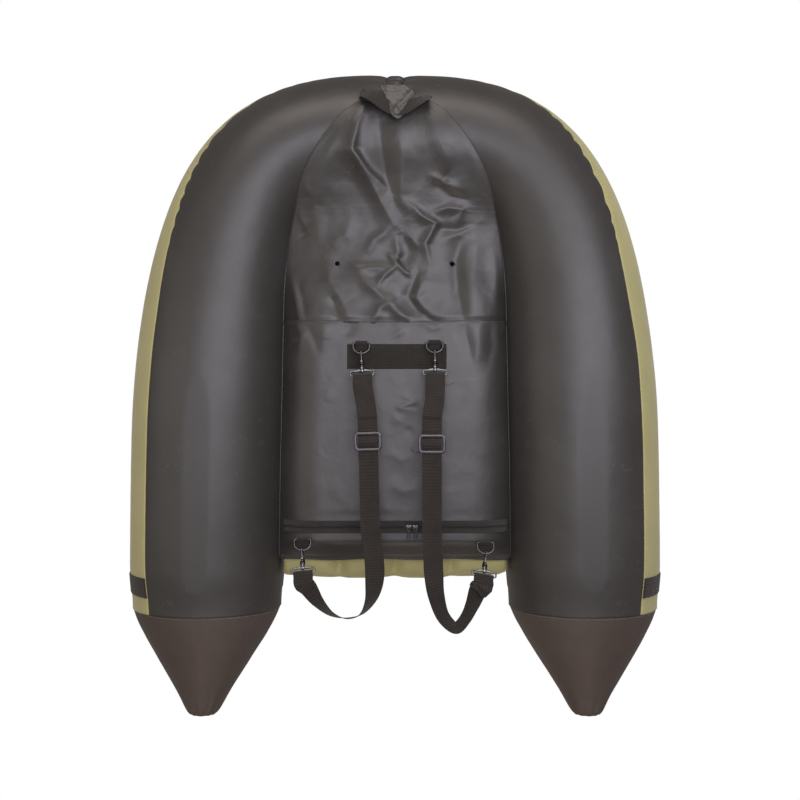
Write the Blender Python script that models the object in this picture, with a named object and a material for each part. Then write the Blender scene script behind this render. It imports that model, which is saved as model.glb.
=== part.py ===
"""Float tube: a U-shaped inflatable fishing boat for one person, built as separate pieces.

Metres, +Z up. The hull lies on z = 0, the closed end points to +Y and the two cones to -Y.
+X is the side that is on the left when the boat is seen from below with its closed end up.
"""
import math

import bpy
import bmesh
from mathutils import Matrix, Vector

# Clearances and cloth
GAP = 0.0003
CLOTH = 0.0010
OVERRUN = 0.002

# Pontoons: two tapering tubes that bend towards each other at the closed end
TUBE_RADIUS = 0.158
TUBE_END_RADIUS = 0.115
SEAM_PINCH = 0.0055
SEAM_RADIUS = TUBE_RADIUS - SEAM_PINCH
AXIS_HALF_SPACING = 0.3895
SEAM_Y = -0.4385
REAR_AXIS_Y = 0.5446
FRONT_HANDLE = 0.800
REAR_HANDLE = 0.352
GATHER_WIDTH = 0.028
PINCH_SHARE = 0.075
TAPER_START_SHARE = 0.30
REST_HALF_ANGLE = math.radians(9)
AXIS_HEIGHT = TUBE_RADIUS * math.cos(REST_HALF_ANGLE)

# Stations along a pontoon, as shares of its length from the cone seam to the closed end
STATION_SHARES = (0, 0.03, 0.075, 0.17, 0.28, 0.38, 0.46, 0.53, 0.59, 0.64, 0.685, 0.725, 0.765,
                  0.80, 0.83, 0.86, 0.89, 0.92, 0.945, 0.966, 0.982, 0.993, 1)
# How far the closed end is drawn in, as (share of the length, share of the radius)
CLOSING_SHARES = ((0.93, 1), (0.966, 0.985), (0.982, 0.955), (0.993, 0.90), (1, 0.80))

# Seams round the tube, in degrees from straight down, outwards positive
LOWER_SKIN_FIXED_DEGREES = (-81, -63, -45, -27, -9, 9)
LOWER_SKIN_OUTER_STEPS = 3
INNER_SEAM_DEGREES = 279
UPPER_COVER_STEPS = 12
# Height of the outer seam, as (share of the length, degrees)
OUTER_SEAM_SHARES = ((0, 40), (0.1, 42), (0.5, 42), (0.64, 48), (0.72, 57), (0.80, 73),
                     (0.86, 93), (1, 97))

# End cones
CONE_LENGTH = 0.2322
CONE_TIP_RADIUS = 0.026
CONE_TIP_SPREAD = 0.010
# Profile as (share of the cone's length, share of the drop from seam to tip radius)
CONE_PROFILE_SHARES = ((0, 0), (0.12, 0.085), (0.30, 0.25), (0.55, 0.52), (0.80, 0.785),
                       (0.94, 0.915), (0.985, 0.965), (1, 1.16))
BAND_WIDTH = 0.040
BAND_CENTRE_Y = -0.386
BAND_THICKNESS = 0.0015
BLADDER_CONE_SHARE = 0.86

# Floor panels between the pontoons
PANEL_EDGE_DEGREES = -75
CROSS_SEAM_Y = 0.149
POCKET_FLOOR_Z = 0.075
POCKET_FRONT_Y = -0.336
POCKET_FLAT_SHARE = 0.74
POCKET_FRONT_RISE = 0.024
POCKET_FRONT_RUN = 0.042
# Edge of the storage floor on the tubes, as (share of the tube's length, degrees)
STORAGE_EDGE_SHARES = ((0.513, -73), (0.56, -72), (0.62, -70), (0.68, -67), (0.735, -61), (0.785, -50),
                       (0.825, -38), (0.862, -24), (0.895, -8), (0.925, 8), (0.950, 20), (0.968, 28))
STORAGE_SAG = 0.012
FOLD_DEPTH = 0.006
PANEL_COLUMNS = 16
DRAIN_HOLE_RADIUS = 0.0042
DRAIN_HOLE_HALF_SPACING = 0.1165
DRAIN_HOLE_Y = 0.263

# Seat and backrest
SEAT_FRONT_Y = -0.378
SEAT_REAR_Y = 0.060
SEAT_SIDE_INSET = 0.006
SEAT_HALF_WIDTH = AXIS_HALF_SPACING - TUBE_RADIUS - SEAT_SIDE_INSET
SEAT_MID_Z = 0.145
SEAT_TOP_Z = 0.212
SEAT_EASE = 0.004
SEAT_LOBES = 4
LOBE_POINTS = 5
LOBE_DEPTH = 0.020
# Cushion ends, as (share of the length, share of the full height)
SEAT_END_SHARES = ((0, 0.10), (0.012, 0.42), (0.035, 0.70), (0.075, 0.90), (0.14, 1), (0.32, 1), (0.5, 1),
                   (0.68, 1), (0.86, 1), (0.93, 0.92), (0.975, 0.72), (1, 0.40))
BACKREST_END_SHARES = ((0, 0.12), (0.02, 0.50), (0.055, 0.78), (0.12, 0.96), (0.3, 1), (0.55, 1), (0.8, 0.97),
                       (0.92, 0.82), (0.975, 0.52), (1, 0.14))
BACKREST_HALF_WIDTH = 0.205
BACKREST_HEIGHT = 0.340
BACKREST_THICKNESS = 0.078
BACKREST_LOBE_DEPTH = 0.014
BACKREST_LEAN = math.radians(10)
BACK_STRAP_WIDTH = 0.025
BACK_STRAP_ANCHOR_SHARE = 0.28
BACK_STRAP_HEIGHT_SHARE = 0.82

# Rear cover over the storage space
REAR_COVER_EDGE_DEGREES = 232
REAR_COVER_SHARES = (0.60, 0.66, 0.72, 0.775, 0.82, 0.855, 0.89, 0.925)
REAR_COVER_CROWN = 0.012

# Valves
VALVE_SHARE = 0.485
VALVE_RADIUS = 0.015
VALVE_HEIGHT = 0.008
VALVE_FLANGE_RADIUS = 0.020
VALVE_FLANGE_HEIGHT = 0.003
VALVE_CAP_HEIGHT = 0.006

# Carrying harness
WEBBING_WIDTH = 0.0385
WEBBING_THICKNESS = 0.0014
PATCH_LENGTH = 0.200
PATCH_WIDTH = 0.050
PATCH_THICKNESS = 0.0015
PATCH_X = -0.004
PATCH_Y = 0.075
RING_WIRE_RADIUS = 0.0021
RING_HALF_WIDTH = 0.0165
RING_DEPTH = 0.0245
TAB_WIDTH = 0.024
TAB_LENGTH = 0.018
TAB_THICKNESS = 0.0015

# Snap hook, along its shank from the swivel to the bow
HOOK_BOW_CENTRE = 0.030
HOOK_BOW_RADIUS = 0.0071
HOOK_WIRE_RADIUS = 0.0025
HOOK_GATE_PIVOT = 0.0105
HOOK_NOSE = 0.0285
HOOK_PLAY = 0.0008
GATE_RADIUS = 0.0013
SHANK_RADIUS = 0.0020
SHANK_HEAD_RADIUS = 0.0032
SHANK_HEAD_HEIGHT = 0.0016
BARREL_RADIUS = 0.0046
BARREL_LENGTH = 0.0090
EYE_HALF_WIDTH = 0.0260
EYE_THICKNESS = 0.0036
EYE_SLOT_HALF_WIDTH = 0.0210
EYE_SLOT_HEIGHT = 0.0060
EYE_BAR_HEIGHT = 0.0040
EYE_WING_HEIGHT = 0.0045

# Strap adjusters, with three bars
SLIDER_WIDTH = 0.053
SLIDER_LENGTH = 0.037
SLIDER_BAR = 0.0055
SLIDER_BAR_THICKNESS = 0.0030
SLIDER_CORNER = 0.008

# Seat pocket zipper
ZIPPER_Y = -0.2677
ZIPPER_TAPE_WIDTH = 0.025
ZIPPER_TAPE_THICKNESS = 0.0006
ZIPPER_TEETH_WIDTH = 0.005
ZIPPER_TEETH_HEIGHT = 0.002
ZIP_BODY_LENGTH = 0.012
ZIP_BODY_WIDTH = 0.010
ZIP_BODY_WALL = 0.0012
ZIP_PULL_LENGTH = 0.026
ZIP_PULL_WIDTH = 0.0065
ZIP_PULL_THICKNESS = 0.0016
ZIP_BAIL_RADIUS = 0.0008
ZIP_PAIR_CENTRE_X = -0.0348
ZIP_PAIR_SPACING = 0.0134

# Carry handle at the closed end
HANDLE_HALF_SPAN = 0.068
HANDLE_WIDTH = 0.036
HANDLE_THICKNESS = 0.0022
HANDLE_DROP = 0.024
HANDLE_REAR_OFFSET = 0.0404
HANDLE_Y = REAR_AXIS_Y + HANDLE_REAR_OFFSET
HANDLE_SAG = 0.022
GRIP_LENGTH = 0.062
GRIP_HALF_WIDTH = 0.032
GRIP_THICKNESS = 0.0016
GATHER_PLEATS = 14
# Pleated end piece, as (share of its half width, share of its radius)
GATHER_SHARES = ((-1, 0.996), (-0.5, 0.97), (0.5, 0.97), (1, 0.996))
PLEAT_DEPTH = 0.005
GRIP_X = 0.004
HANDLE_X = -0.0054
GRIP_SHARES = (0, 0.15, 0.32, 0.5, 0.66, 0.8, 0.91, 0.98)

# Places of the four rings on the underside, and how their chains hang
UPPER_LEFT_RING_X = 0.0670
UPPER_LEFT_RING_Y = 0.1026
UPPER_RIGHT_RING_X = -0.0800
UPPER_RIGHT_RING_Y = 0.1044
LOWER_LEFT_RING_INSET = 0.0465
LOWER_LEFT_RING_X = AXIS_HALF_SPACING - TUBE_RADIUS - LOWER_LEFT_RING_INSET
LOWER_LEFT_RING_Y = -0.2924
LOWER_RIGHT_RING_INSET = 0.0495
LOWER_RIGHT_RING_X = TUBE_RADIUS + LOWER_RIGHT_RING_INSET - AXIS_HALF_SPACING
LOWER_RIGHT_RING_Y = -0.2990
UPPER_SLOPE = 25
LOWER_SLOPE = 34
UPPER_LEFT_YAW = -3.4
UPPER_RIGHT_YAW = 0.0
LOWER_LEFT_YAW = -5.6
LOWER_RIGHT_YAW = 8.9

# Straps: places along each route as shares of the harness reach, with the twist in degrees
HARNESS_REACH = 0.500
TWIST_SHARE = 0.002
STRAP_STEP = 0.013
STRAP_CLOSE_RUN = 0.014
STRAP_BULGE_RUN = 0.050
UPPER_TAIL = 0.094
LOWER_TAIL = 0.042
RIGHT_LOOP_BULGE = 0.009
FLAT_RUN_SHARE = 0.0092
LEFT_ROUTE_SHARES = (
    (0.1140, -0.036, 0.0270, 0), (0.1085, -0.076, 0.0130, 0), (0.1060, -0.110, FLAT_RUN_SHARE, 0),
    (0.1050, -0.148, FLAT_RUN_SHARE, 0), (0.0962, -0.4814, FLAT_RUN_SHARE, 0),
    (0.0951, -0.523, FLAT_RUN_SHARE, 0), (0.0815, -0.633, 0.0120, 0), (0.0775, -0.719, 0.0170, 15),
    (0.0900, -0.806, 0.0310, 52), (0.1300, -0.868, 0.0420, 78), (0.1874, -0.885, 0.0460, 84),
    (0.2500, -0.868, 0.0490, 74), (0.3020, -0.822, 0.0510, 55), (0.3420, -0.765, 0.0520, 22))
RIGHT_ROUTE_SHARES = (
    (-0.1560, -0.036, 0.0270, 0), (-0.1480, -0.076, 0.0130, 0), (-0.1456, -0.110, FLAT_RUN_SHARE, 0),
    (-0.1456, -0.148, FLAT_RUN_SHARE, 0), (-0.1456, -0.4814, FLAT_RUN_SHARE, 0),
    (-0.1456, -0.523, FLAT_RUN_SHARE, 0), (-0.1496, -0.633, 0.0120, 0), (-0.1530, -0.704, 0.0150, 10),
    (-0.1640, -0.790, 0.0260, 32), (-0.1960, -0.880, 0.0370, 52), (-0.2420, -0.918, 0.0430, 62),
    (-0.2760, -0.885, 0.0470, 62), (-0.3060, -0.826, 0.0510, 50), (-0.3300, -0.770, 0.0530, 24))
ADJUSTER_SHARES = (("left", 0.10505, -0.1864, -1.51), ("right", -0.1456, -0.1962, 0.0))
ZIPPER_REACH_SHARE = 0.972


def clear_scene():
    for item in list(bpy.data.objects):
        bpy.data.objects.remove(item)


def srgb(code):
    """Linear colour of a six-digit sRGB code."""
    channels = [int(code[i:i + 2], 16) / 255 for i in (0, 2, 4)]
    return [c / 12.92 if c <= 0.04045 else ((c + 0.055) / 1.055) ** 2.4 for c in channels] + [1]


def material(name, code, roughness, metallic=0.0):
    made = bpy.data.materials.new(name)
    made.use_nodes = True
    shader = made.node_tree.nodes["Principled BSDF"]
    shader.inputs["Base Color"].default_value = srgb(code)
    shader.inputs["Roughness"].default_value = roughness
    shader.inputs["Metallic"].default_value = metallic
    made.diffuse_color = srgb(code)
    return made


clear_scene()
BLACK_PVC = material("black_coated_cloth", "332F2D", 0.42)
OLIVE_CLOTH = material("olive_coated_cloth", "979064", 0.62)
CONE_PVC = material("brown_black_cone_cloth", "4A3E38", 0.55)
BLADDER_FILM = material("bladder_film", "2A2A2C", 0.35)
WEBBING = material("black_webbing", "2E2A26", 0.85)
GUNMETAL = material("gunmetal_plating", "6E6A66", 0.28, 1.0)
NYLON = material("black_moulded_nylon", "1E1D1C", 0.45)


def add_object(name, mesh, finish, smooth_degrees=40):
    made = bpy.data.objects.new(name, mesh)
    bpy.context.scene.collection.objects.link(made)
    mesh.materials.clear()
    mesh.materials.append(finish)
    if smooth_degrees:
        mesh.shade_smooth()
        mesh.set_sharp_from_angle(angle=math.radians(smooth_degrees))
    return made


def finish_mesh(bm, name, finish, smooth_degrees=40):
    bmesh.ops.recalc_face_normals(bm, faces=bm.faces)
    mesh = bpy.data.meshes.new(name)
    bm.to_mesh(mesh)
    bm.free()
    return add_object(name, mesh, finish, smooth_degrees)


def skin_rings(bm, rings, cyclic=False, strip_caps=False, turned=()):
    """Join closed rings of points into one closed body, ring after ring.

    A sheet's two walls are split along the same diagonals, so that they stay apart where it is warped.
    turned holds the numbers of the ring pairs that take the other diagonal.
    """
    loops = [[bm.verts.new(point) for point in ring] for ring in rings]
    count = len(loops[0])
    pairs = list(zip(loops, loops[1:]))
    if cyclic:
        pairs.append((loops[-1], loops[0]))
    for number, (first, second) in enumerate(pairs):
        for i in range(count):
            j = (i + 1) % count
            if (i < count // 2) != (number in turned):
                bm.faces.new((first[i], first[j], second[j]))
                bm.faces.new((first[i], second[j], second[i]))
            else:
                bm.faces.new((first[i], first[j], second[i]))
                bm.faces.new((first[j], second[j], second[i]))
    if cyclic:
        return
    for loop in (loops[0], loops[-1]):
        if strip_caps:
            for i in range(count // 2 - 1):
                bm.faces.new((loop[i], loop[i + 1], loop[count - 2 - i], loop[count - 1 - i]))
        else:
            bm.faces.new(loop)


def loft(name, rings, finish, cyclic=False, strip_caps=False, smooth_degrees=40, turned=()):
    bm = bmesh.new()
    skin_rings(bm, rings, cyclic, strip_caps, turned)
    return finish_mesh(bm, name, finish, smooth_degrees)


def sheet_ring(points, thickness):
    """Closed ring round a row of (point, outward direction) pairs, with the sheet's thickness."""
    inner = [point for point, _ in points]
    outer = [point + direction * thickness for point, direction in points]
    return outer + inner[::-1]


def ease(value):
    value = min(max(value, 0), 1)
    return value * value * (3 - 2 * value)


def blend_shares(table, share):
    """Value at a share, read from (share, value) pairs joined by straight runs."""
    for (a, low), (b, high) in zip(table, table[1:]):
        if share <= b:
            return low + (high - low) * max(share - a, 0) / (b - a)
    return table[-1][1]


def cut(target, cutter):
    """Subtract a cutter mesh object and keep it out of the build."""
    cutter.hide_render = True
    cutter.display_type = 'WIRE'
    step = target.modifiers.new("cut_" + cutter.name, 'BOOLEAN')
    step.operation = 'DIFFERENCE'
    step.solver = 'EXACT'
    step.object = cutter
    return step


def join_in(target, piece):
    """Add a piece to a target by a union, and keep the piece out of the build."""
    piece.hide_render = True
    piece.display_type = 'WIRE'
    step = target.modifiers.new("with_" + piece.name, 'BOOLEAN')
    step.operation = 'UNION'
    step.solver = 'EXACT'
    step.object = piece
    return step


def set_origin(made, point):
    """Move an object's origin to a point, with its shape left where it is."""
    made.data.transform(Matrix.Translation(-point))
    made.location = point
    return made


def cylinder(name, radius, start, end, finish, sides=16):
    bm = bmesh.new()
    axis = end - start
    place = Matrix.Translation((start + end) / 2) @ axis.to_track_quat('Z', 'Y').to_matrix().to_4x4()
    bmesh.ops.create_cone(bm, cap_ends=True, segments=sides, radius1=radius, radius2=radius,
                          depth=axis.length, matrix=place)
    return finish_mesh(bm, name, finish)


def box(name, low, high, finish):
    bm = bmesh.new()
    centre = (Vector(low) + Vector(high)) / 2
    size = Vector(high) - Vector(low)
    bmesh.ops.create_cube(bm, size=1, matrix=Matrix.Translation(centre) @ Matrix.Diagonal(size.to_4d()))
    return finish_mesh(bm, name, finish, 0)


def wire(name, points, radius, finish, cyclic=False, sides=6, side_axis=None):
    """Round rod along points that lie in one plane, whose normal is side_axis."""
    count = len(points)
    rings = []
    for i, point in enumerate(points):
        before = points[i - 1] if cyclic or i else points[i]
        after = points[(i + 1) % count] if cyclic or i < count - 1 else points[i]
        along = (after - before).normalized()
        out = along.cross(side_axis).normalized()
        ring = []
        for k in range(sides):
            turn = 2 * math.pi * (k + 0.5) / sides
            ring.append(point + (out * math.cos(turn) + side_axis * math.sin(turn)) * radius)
        rings.append(ring)
    return loft(name, rings, finish, cyclic)


# Pontoon geometry


def make_spine(samples=400):
    """Points and arc lengths of one pontoon's axis, a single cubic curve on the +X side."""
    end_x = GATHER_WIDTH / 2
    p0 = Vector((AXIS_HALF_SPACING, SEAM_Y, AXIS_HEIGHT))
    p1 = p0 + Vector((0, FRONT_HANDLE, 0))
    p3 = Vector((end_x, REAR_AXIS_Y, AXIS_HEIGHT))
    p2 = p3 + Vector((REAR_HANDLE, 0, 0))
    points = []
    for i in range(samples + 1):
        t = i / samples
        u = 1 - t
        points.append(p0 * u ** 3 + p1 * (3 * u * u * t) + p2 * (3 * u * t * t) + p3 * t ** 3)
    lengths = [0.0]
    for a, b in zip(points, points[1:]):
        lengths.append(lengths[-1] + (b - a).length)
    return points, lengths


SPINE_POINTS, SPINE_LENGTHS = make_spine()


def spine(share):
    """Axis point and outward direction at a share of the pontoon's length."""
    target = share * SPINE_LENGTHS[-1]
    i = 1
    while i < len(SPINE_LENGTHS) - 1 and SPINE_LENGTHS[i] < target:
        i += 1
    part = (target - SPINE_LENGTHS[i - 1]) / (SPINE_LENGTHS[i] - SPINE_LENGTHS[i - 1])
    point = SPINE_POINTS[i - 1].lerp(SPINE_POINTS[i], part)
    along = (SPINE_POINTS[i] - SPINE_POINTS[i - 1]).normalized()
    return point, Vector((along.y, -along.x, 0))


def tube_radius(share):
    pinch = SEAM_RADIUS + (TUBE_RADIUS - SEAM_RADIUS) * ease(share / PINCH_SHARE)
    taper = ease((share - TAPER_START_SHARE) / (1 - TAPER_START_SHARE))
    radius = pinch + (TUBE_END_RADIUS - TUBE_RADIUS) * taper
    return radius * blend_shares(((0, 1),) + CLOSING_SHARES, share)


def tube_direction(share, degrees):
    out = spine(share)[1]
    turn = math.radians(degrees)
    return out * math.sin(turn) + Vector((0, 0, -math.cos(turn)))


def tube_point(share, degrees, offset=0.0, side=1):
    """Point on or off the cover's outer face, on the +X pontoon or its mirror image."""
    centre = spine(share)[0]
    point = centre + tube_direction(share, degrees) * (tube_radius(share) + offset)
    return Vector((point.x * side, point.y, point.z))


def outer_seam(share):
    return blend_shares(OUTER_SEAM_SHARES, share)


def lower_angles(share):
    last = LOWER_SKIN_FIXED_DEGREES[-1]
    rise = outer_seam(share) - last
    steps = LOWER_SKIN_OUTER_STEPS
    return list(LOWER_SKIN_FIXED_DEGREES) + [last + rise * (k + 1) / steps for k in range(steps)]


def upper_angles(share):
    low = outer_seam(share)
    span = INNER_SEAM_DEGREES - low
    return [low + span * k / UPPER_COVER_STEPS for k in range(UPPER_COVER_STEPS + 1)]


def seam_margin(share):
    """Half of the gap between the two covers along a seam, in degrees."""
    return math.degrees(GAP / tube_radius(share)) / 2


def cover_ring(share, angles, side, lift=0.0, thickness=CLOTH):
    margin = seam_margin(share)
    angles = [angles[0] + margin] + angles[1:-1] + [angles[-1] - margin]
    outer = [tube_point(share, a, lift, side) for a in angles]
    inner = [tube_point(share, a, lift - thickness, side) for a in angles]
    return outer + inner[::-1]


def build_pontoon(word, side):
    shares = list(STATION_SHARES)
    loft(word + "_lower_skin", [cover_ring(s, lower_angles(s), side) for s in shares],
         BLACK_PVC, strip_caps=True)
    loft(word + "_upper_cover", [cover_ring(s, upper_angles(s), side) for s in shares],
         OLIVE_CLOTH, strip_caps=True)
    build_cone(word + "_end_cone", side)
    build_bladder(word + "_bladder", side)
    build_band(word + "_accent_band", side)
    build_valve(word, side)


def seam_polygon(radius, centre, side):
    """The tube's own many-sided section, so that cone and cover meet facet to facet."""
    angles = lower_angles(0) + upper_angles(0)[1:-1]
    ring = []
    for degrees in angles:
        turn = math.radians(degrees)
        ring.append(Vector((side * (centre.x + radius * math.sin(turn)), centre.y,
                            centre.z - radius * math.cos(turn))))
    return ring


def cone_ring(share, drop_share, inset, side):
    radius = SEAM_RADIUS + (CONE_TIP_RADIUS - SEAM_RADIUS) * drop_share - inset
    x = AXIS_HALF_SPACING + CONE_TIP_SPREAD * share
    y = SEAM_Y - GAP - share * (CONE_LENGTH - GAP)
    return seam_polygon(radius, Vector((x, y, AXIS_HEIGHT)), side)


def build_cone(name, side):
    outer = [cone_ring(s, d, 0, side) for s, d in CONE_PROFILE_SHARES]
    inner = [cone_ring(s, d, CLOTH, side) for s, d in CONE_PROFILE_SHARES[:-2]]
    loft(name, inner[::-1] + outer, CONE_PVC)


def bladder_ring(share, side):
    angles = (lower_angles(share) + upper_angles(share)[1:-1])[::2]
    return [tube_point(share, a, -CLOTH - GAP, side) for a in angles]


def build_bladder(name, side):
    rings = []
    for share, drop in reversed(CONE_PROFILE_SHARES[:-2]):
        if 0 < share <= BLADDER_CONE_SHARE:
            rings.append(cone_ring(share, drop, CLOTH + GAP * 2, side)[::2])
    rings += [bladder_ring(s, side) for s in STATION_SHARES[:-1]]
    loft(name, rings, BLADDER_FILM)


def share_at_y(y):
    """Share of the pontoon's length where its front run passes a place along Y."""
    low, high = 0.0, 0.9
    for _ in range(40):
        mid = (low + high) / 2
        if spine(mid)[0].y < y:
            low = mid
        else:
            high = mid
    return low


def build_band(name, side):
    start = share_at_y(BAND_CENTRE_Y - BAND_WIDTH / 2)
    end = share_at_y(BAND_CENTRE_Y + BAND_WIDTH / 2)
    shares = sorted([start, end] + [s for s in STATION_SHARES if start < s < end])
    rings = [cover_ring(s, upper_angles(s), side, BAND_THICKNESS + GAP, BAND_THICKNESS) for s in shares]
    loft(name, rings, WEBBING, strip_caps=True)


def build_valve(word, side):
    """Valve on the flat of the upper cover, with a flange, a neck and a turning cap."""
    stations = [s for s in STATION_SHARES if s < VALVE_SHARE][-1:]
    stations += [s for s in STATION_SHARES if s > VALVE_SHARE][:1]
    corners = [tube_point(s, upper_angles(s)[k], 0, side) for s in stations for k in (6, 7)]
    base = sum(corners, Vector()) / len(corners)
    out = (corners[3] - corners[0]).cross(corners[2] - corners[1]).normalized()
    if out.z < 0:
        out = -out
    start = base + out * (max((c - base).dot(out) for c in corners) + GAP)
    flange_top = start + out * VALVE_FLANGE_HEIGHT
    body_top = flange_top + out * VALVE_HEIGHT
    body = cylinder(word + "_valve", VALVE_FLANGE_RADIUS, start, flange_top, NYLON)
    neck = cylinder(word + "_valve_neck", VALVE_RADIUS, start + out * GAP, body_top, NYLON)
    join_in(body, neck)
    cap_start = body_top + out * GAP
    cap = cylinder(word + "_valve_cap", VALVE_RADIUS, cap_start, cap_start + out * VALVE_CAP_HEIGHT, NYLON)
    set_origin(cap, cap_start)


# Panels between the pontoons


def panel_half_width(y):
    """Half width and height of the panel's edge on the inner side of the tubes."""
    point = tube_point(share_at_y(y), PANEL_EDGE_DEGREES, GAP)
    return point.x, point.z


def pocket_z(x, y):
    """Underside of the seat pocket: flat in the middle, drawn up to the tubes at its sides."""
    half, edge_z = panel_half_width(y)
    across = max(abs(x) / half - POCKET_FLAT_SHARE, 0) / (1 - POCKET_FLAT_SHARE)
    front = ease((POCKET_FRONT_Y + POCKET_FRONT_RUN - y) / POCKET_FRONT_RUN)
    floor_z = POCKET_FLOOR_Z + POCKET_FRONT_RISE * front
    return floor_z + (edge_z - floor_z) * min(across, 1) ** 1.5


def row_of(half, columns):
    return [half * (2 * k / columns - 1) for k in range(columns + 1)]


def build_pocket():
    up = Vector((0, 0, 1))
    rows = [POCKET_FRONT_Y, POCKET_FRONT_Y + POCKET_FRONT_RUN / 3, POCKET_FRONT_Y + POCKET_FRONT_RUN / 1.5,
            POCKET_FRONT_Y + POCKET_FRONT_RUN]
    step_count = 7
    run = CROSS_SEAM_Y - GAP - rows[-1]
    rows += [rows[-1] + run * (k + 1) / step_count for k in range(step_count)]
    rings = []
    for y in rows:
        half = panel_half_width(y)[0]
        points = [(Vector((x, y, pocket_z(x, y))), up) for x in row_of(half, PANEL_COLUMNS)]
        rings.append(sheet_ring(points, CLOTH))
    loft("seat_pocket_panel", rings, BLACK_PVC, strip_caps=True)


def storage_z(u, edge_z, along):
    """Storage floor below its edge line: a loose sag with folds that run to the gather."""
    sag = STORAGE_SAG * (1 - u * u) * (1 - along) ** 2
    fold = FOLD_DEPTH * (0.5 - 0.5 * math.cos(5 * math.pi * u)) * max(math.sin(math.pi * along), 0) ** 0.7
    join = 1 - ease(along / 0.12)
    _, seam_z = panel_half_width(CROSS_SEAM_Y)
    drop = 0
    if join:
        drop = join * (seam_z - POCKET_FLOOR_Z)
        across = max(abs(u) - POCKET_FLAT_SHARE, 0) / (1 - POCKET_FLAT_SHARE)
        drop *= 1 - min(across, 1) ** 1.5
    return edge_z - (1 - join) * (sag + fold) - drop


def build_storage_floor():
    up = Vector((0, 0, 1))
    rings = []
    half, seam_z = panel_half_width(CROSS_SEAM_Y)
    edges = [Vector((half, CROSS_SEAM_Y + GAP, seam_z))]
    for share, degrees in STORAGE_EDGE_SHARES:
        edges.append(tube_point(share, degrees, GAP + CLOTH * ease(degrees / 30 + 1.5)))
    start_y, end_y = edges[0].y, edges[-1].y
    for edge in edges:
        along = (edge.y - start_y) / (end_y - start_y)
        points = []
        for x in row_of(edge.x, PANEL_COLUMNS):
            u = x / edge.x
            points.append((Vector((x, edge.y, storage_z(u, edge.z, along) - CLOTH)), up))
        rings.append(sheet_ring(points, CLOTH))
    floor = loft("storage_floor", rings, BLACK_PVC, strip_caps=True)
    for number, side in enumerate((1, -1)):
        x = DRAIN_HOLE_HALF_SPACING * side
        low = Vector((x, DRAIN_HOLE_Y, POCKET_FLOOR_Z - POCKET_FLAT_SHARE * PATCH_WIDTH))
        high = Vector((x, DRAIN_HOLE_Y, AXIS_HEIGHT))
        cut(floor, cylinder("drain_cutter_%d" % number, DRAIN_HOLE_RADIUS, low, high, BLACK_PVC, 10))


# Seat cushion, backrest and rear cover


def lobe_profile(share, lobes):
    """Height of a row of inflated lobes, from 0 in a channel to 1 on a crown."""
    return abs(math.sin(math.pi * lobes * share)) ** 0.55


def lobe_shares():
    steps = SEAT_LOBES * LOBE_POINTS
    return [k / steps for k in range(steps + 1)]


def seat_half_width(y):
    tube = tube_point(share_at_y(y), -90, GAP * 3)
    return min(SEAT_HALF_WIDTH, tube.x)


def build_seat():
    """Seat cushion with four channels, drawn in at its sides and rounded at both ends."""
    rings = []
    for share, fullness in SEAT_END_SHARES:
        y = SEAT_FRONT_Y + (SEAT_REAR_Y - SEAT_FRONT_Y) * share
        half = seat_half_width(y) * (0.965 + 0.035 * fullness)
        top, bottom = [], []
        for k in lobe_shares():
            x = half * (2 * k - 1)
            lobe = lobe_profile(k, SEAT_LOBES)
            side = 1 - (2 * k - 1) ** 8
            floor_y = max(y, POCKET_FRONT_Y)
            side_ease = ease((abs(x) / half - POCKET_FLAT_SHARE + 0.08) / 0.1)
            front_ease = ease((POCKET_FRONT_Y + POCKET_FRONT_RUN * 1.2 - floor_y) / POCKET_FRONT_RUN * 4)
            floor_z = pocket_z(x, floor_y) + CLOTH + GAP + SEAT_EASE * max(side_ease, front_ease)
            crown = SEAT_MID_Z + (SEAT_TOP_Z - SEAT_MID_Z) * side
            crown -= LOBE_DEPTH * (1 - lobe) * side
            base = floor_z + LOBE_DEPTH / 3 * (1 - lobe) * side
            middle = max(SEAT_MID_Z - LOBE_DEPTH / 2, floor_z + CLOTH)
            top.append(Vector((x, y, middle + CLOTH + (crown - middle) * fullness)))
            bottom.append(Vector((x, y, middle + (base - middle) * fullness)))
        rings.append(top + bottom[::-1])
    loft("seat_cushion", rings, OLIVE_CLOTH, smooth_degrees=60)


def backrest_place():
    """Hinge line of the backrest, along X on the rear edge of the seat cushion."""
    return Vector((0, SEAT_REAR_Y - LOBE_DEPTH, SEAT_TOP_Z + LOBE_DEPTH / 2))


def build_backrest():
    """Backrest with four upright channels; it folds forward about its lower front edge."""
    hinge = backrest_place()
    lean = Matrix.Rotation(-BACKREST_LEAN, 4, 'X')
    rings = []
    for share, fullness in BACKREST_END_SHARES:
        z = BACKREST_HEIGHT * share
        half = BACKREST_HALF_WIDTH * (0.93 + 0.07 * math.sin(math.pi * min(share + 0.25, 0.75) / 1.5))
        depth = BACKREST_THICKNESS
        front, rear = [], []
        for k in lobe_shares():
            x = half * (2 * k - 1)
            lobe = lobe_profile(k, SEAT_LOBES)
            side = 1 - abs(2 * k - 1) ** 6
            swell = (depth / 2 - BACKREST_LOBE_DEPTH * (1 - lobe)) * side * fullness
            swell = max(swell, CLOTH)
            front.append(Vector((x, depth / 2 - swell, z)))
            rear.append(Vector((x, depth / 2 + swell, z)))
        rings.append(front + rear[::-1])
    made = loft("backrest_cushion", rings, OLIVE_CLOTH, smooth_degrees=60)
    made.matrix_world = Matrix.Translation(hinge) @ lean
    return made


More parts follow.
